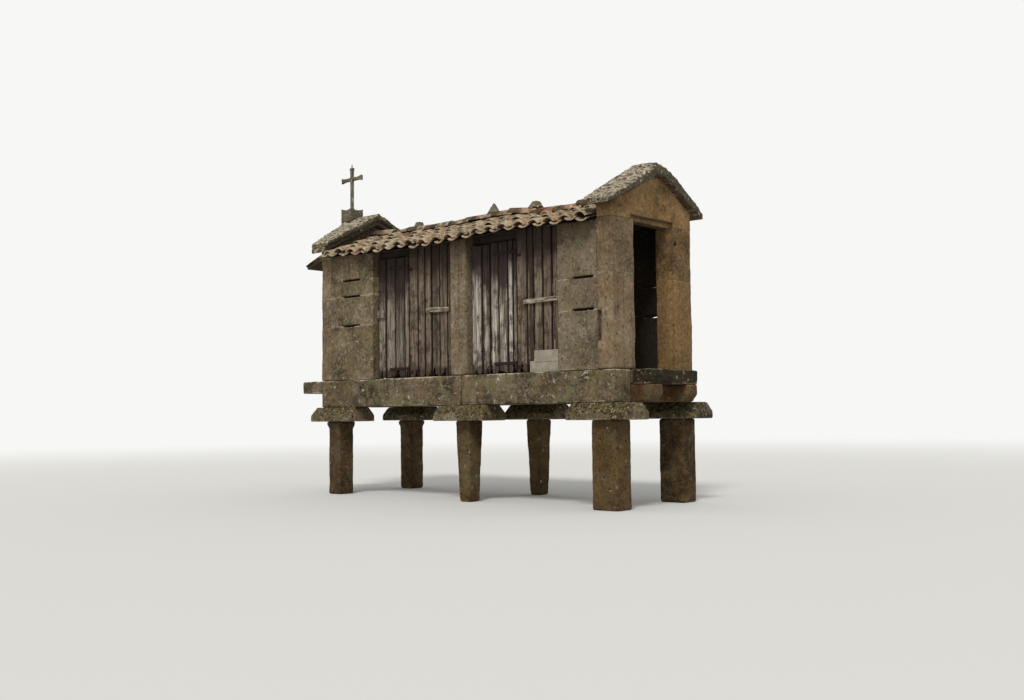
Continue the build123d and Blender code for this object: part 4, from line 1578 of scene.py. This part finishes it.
def rearBoards():
    rng = random.Random(rear["seed"])
    wooden = []
    back = boardFace - rear["thick"]
    railLow, railHigh = [floorTop + level for level in fixed["rail"]]

    def topAt(x):
        return underRoof(x, boardFace)

    for index, (low, high) in enumerate(partBoxes("boards_rear")):
        count = round((high.x - low.x) / rear["width"])
        joints = [low.x]
        for number in range(1, count):
            shift = rng.uniform(-rear["uneven"], rear["uneven"])
            joints.append(low.x + (high.x - low.x) * number / count + shift)
        joints.append(high.x)
        wooden += boardRow(f"rear{index}", joints, back, boardFace, low.z, topAt, rng)
        corners = ((low.x, back - rear["railDepth"], railLow), (high.x, back + 0.001, railHigh))
        wooden.append(bar(f"rearRail{index}", *corners, 0.4))
    piece = joined(wooden, "rear_planks")
    handOver(piece, "granary", "weathered_boards", boardMaterial, "boards_rear")


rearBoards()
print("boards and doors hung")


# Camera, floor and light

camera = {
    "place": (9.021, -9.787, 0.9985),
    "yaw": 0.7219,            # turned from +Y towards -X, radians
    "pitch": 0.0575,
    "roll": -0.0116,
    "lens": 38.67,
}


def photoCamera():
    yaw, pitch, roll = camera["yaw"], camera["pitch"], camera["roll"]
    view = Vector((-math.sin(yaw) * math.cos(pitch), math.cos(yaw) * math.cos(pitch), math.sin(pitch)))
    right = Vector((math.cos(yaw), math.sin(yaw), 0))
    up = right.cross(view)
    rolledRight = right * math.cos(roll) + up * math.sin(roll)
    rolledUp = up * math.cos(roll) - right * math.sin(roll)
    bpy.ops.object.camera_add(location=camera["place"])
    eye = bpy.context.object
    turn = Matrix((rolledRight, rolledUp, -view)).transposed()
    eye.rotation_euler = turn.to_euler()
    eye.data.lens = camera["lens"]
    eye.data.sensor_width = 36
    eye.data.clip_end = 400
    bpy.context.scene.camera = eye


photoCamera()

studio = {
    "floor": paint(206, 204, 198),
    "sky": (0.93, 0.93, 0.92, 1.0),
    "light": (0.96, 0.98, 1.0, 1.0),
    "worldLevel": 0.72,
    "sunLevel": 2.0,
    "sunTurn": (math.radians(42), 0, math.radians(28)),
    "sunSize": math.radians(14),
    "fade": (7.0, 30.0),      # metres over which the floor fades into the background
}


def rayKind(g, kind):
    return g.add("ShaderNodeLightPath", output=kind)


def paleFloor():
    bpy.ops.mesh.primitive_circle_add(
        vertices=96, radius=150, fill_type="NGON", location=(0, 0, groundLevel - 0.001),
    )
    floor = bpy.context.object
    floor.name = "studio_floor"
    settle(floor)
    g = Graph("studio_floor")
    distance = g.add("ShaderNodeVectorMath", {"operation": "LENGTH"}, {0: g.spot()}, "Value")
    plain = g.add("ShaderNodeBsdfDiffuse", None, {"Color": studio["floor"]})
    glow = g.add("ShaderNodeEmission", None, {"Color": studio["sky"], "Strength": 1.0})
    share = distance.above(*studio["fade"]) * rayKind(g, "Is Camera Ray")
    surface = g.add("ShaderNodeMixShader", None, {0: share, 1: plain, 2: glow})
    g.add("ShaderNodeOutputMaterial", None, {"Surface": surface})
    coat(floor, g.owner)
    floor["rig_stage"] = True


def softLight():
    g = Graph("studio", "worlds")
    shown = g.add("ShaderNodeBackground", None, {"Color": studio["sky"]})
    lit = g.add("ShaderNodeBackground", None, {"Color": studio["light"], "Strength": studio["worldLevel"]})
    # the camera sees the plain sky, also in mirrors and through glass
    seen = rayKind(g, "Is Glossy Ray").bigger(rayKind(g, "Is Transmission Ray"))
    share = rayKind(g, "Is Camera Ray").bigger(seen)
    surface = g.add("ShaderNodeMixShader", None, {0: share, 1: lit, 2: shown})
    g.add("ShaderNodeOutputWorld", None, {"Surface": surface})
    bpy.context.scene.world = g.owner
    bpy.ops.object.light_add(type="SUN", location=(4, -6, 9), rotation=studio["sunTurn"])
    sun = bpy.context.object
    sun.data.energy = studio["sunLevel"]
    sun.data.angle = studio["sunSize"]


paleFloor()
softLight()
bpy.context.scene.view_settings.view_transform = "Standard"

triangles = {}
for thing in bpy.context.scene.objects:
    if thing.type == "MESH" and not thing.hide_render and not thing.get("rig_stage"):
        triangles[thing.name] = sum(len(face.vertices) - 2 for face in thing.data.polygons)
largest = sorted(triangles.items(), key=lambda row: -row[1])[:5]
print("triangles:", sum(triangles.values()), "largest:", largest)
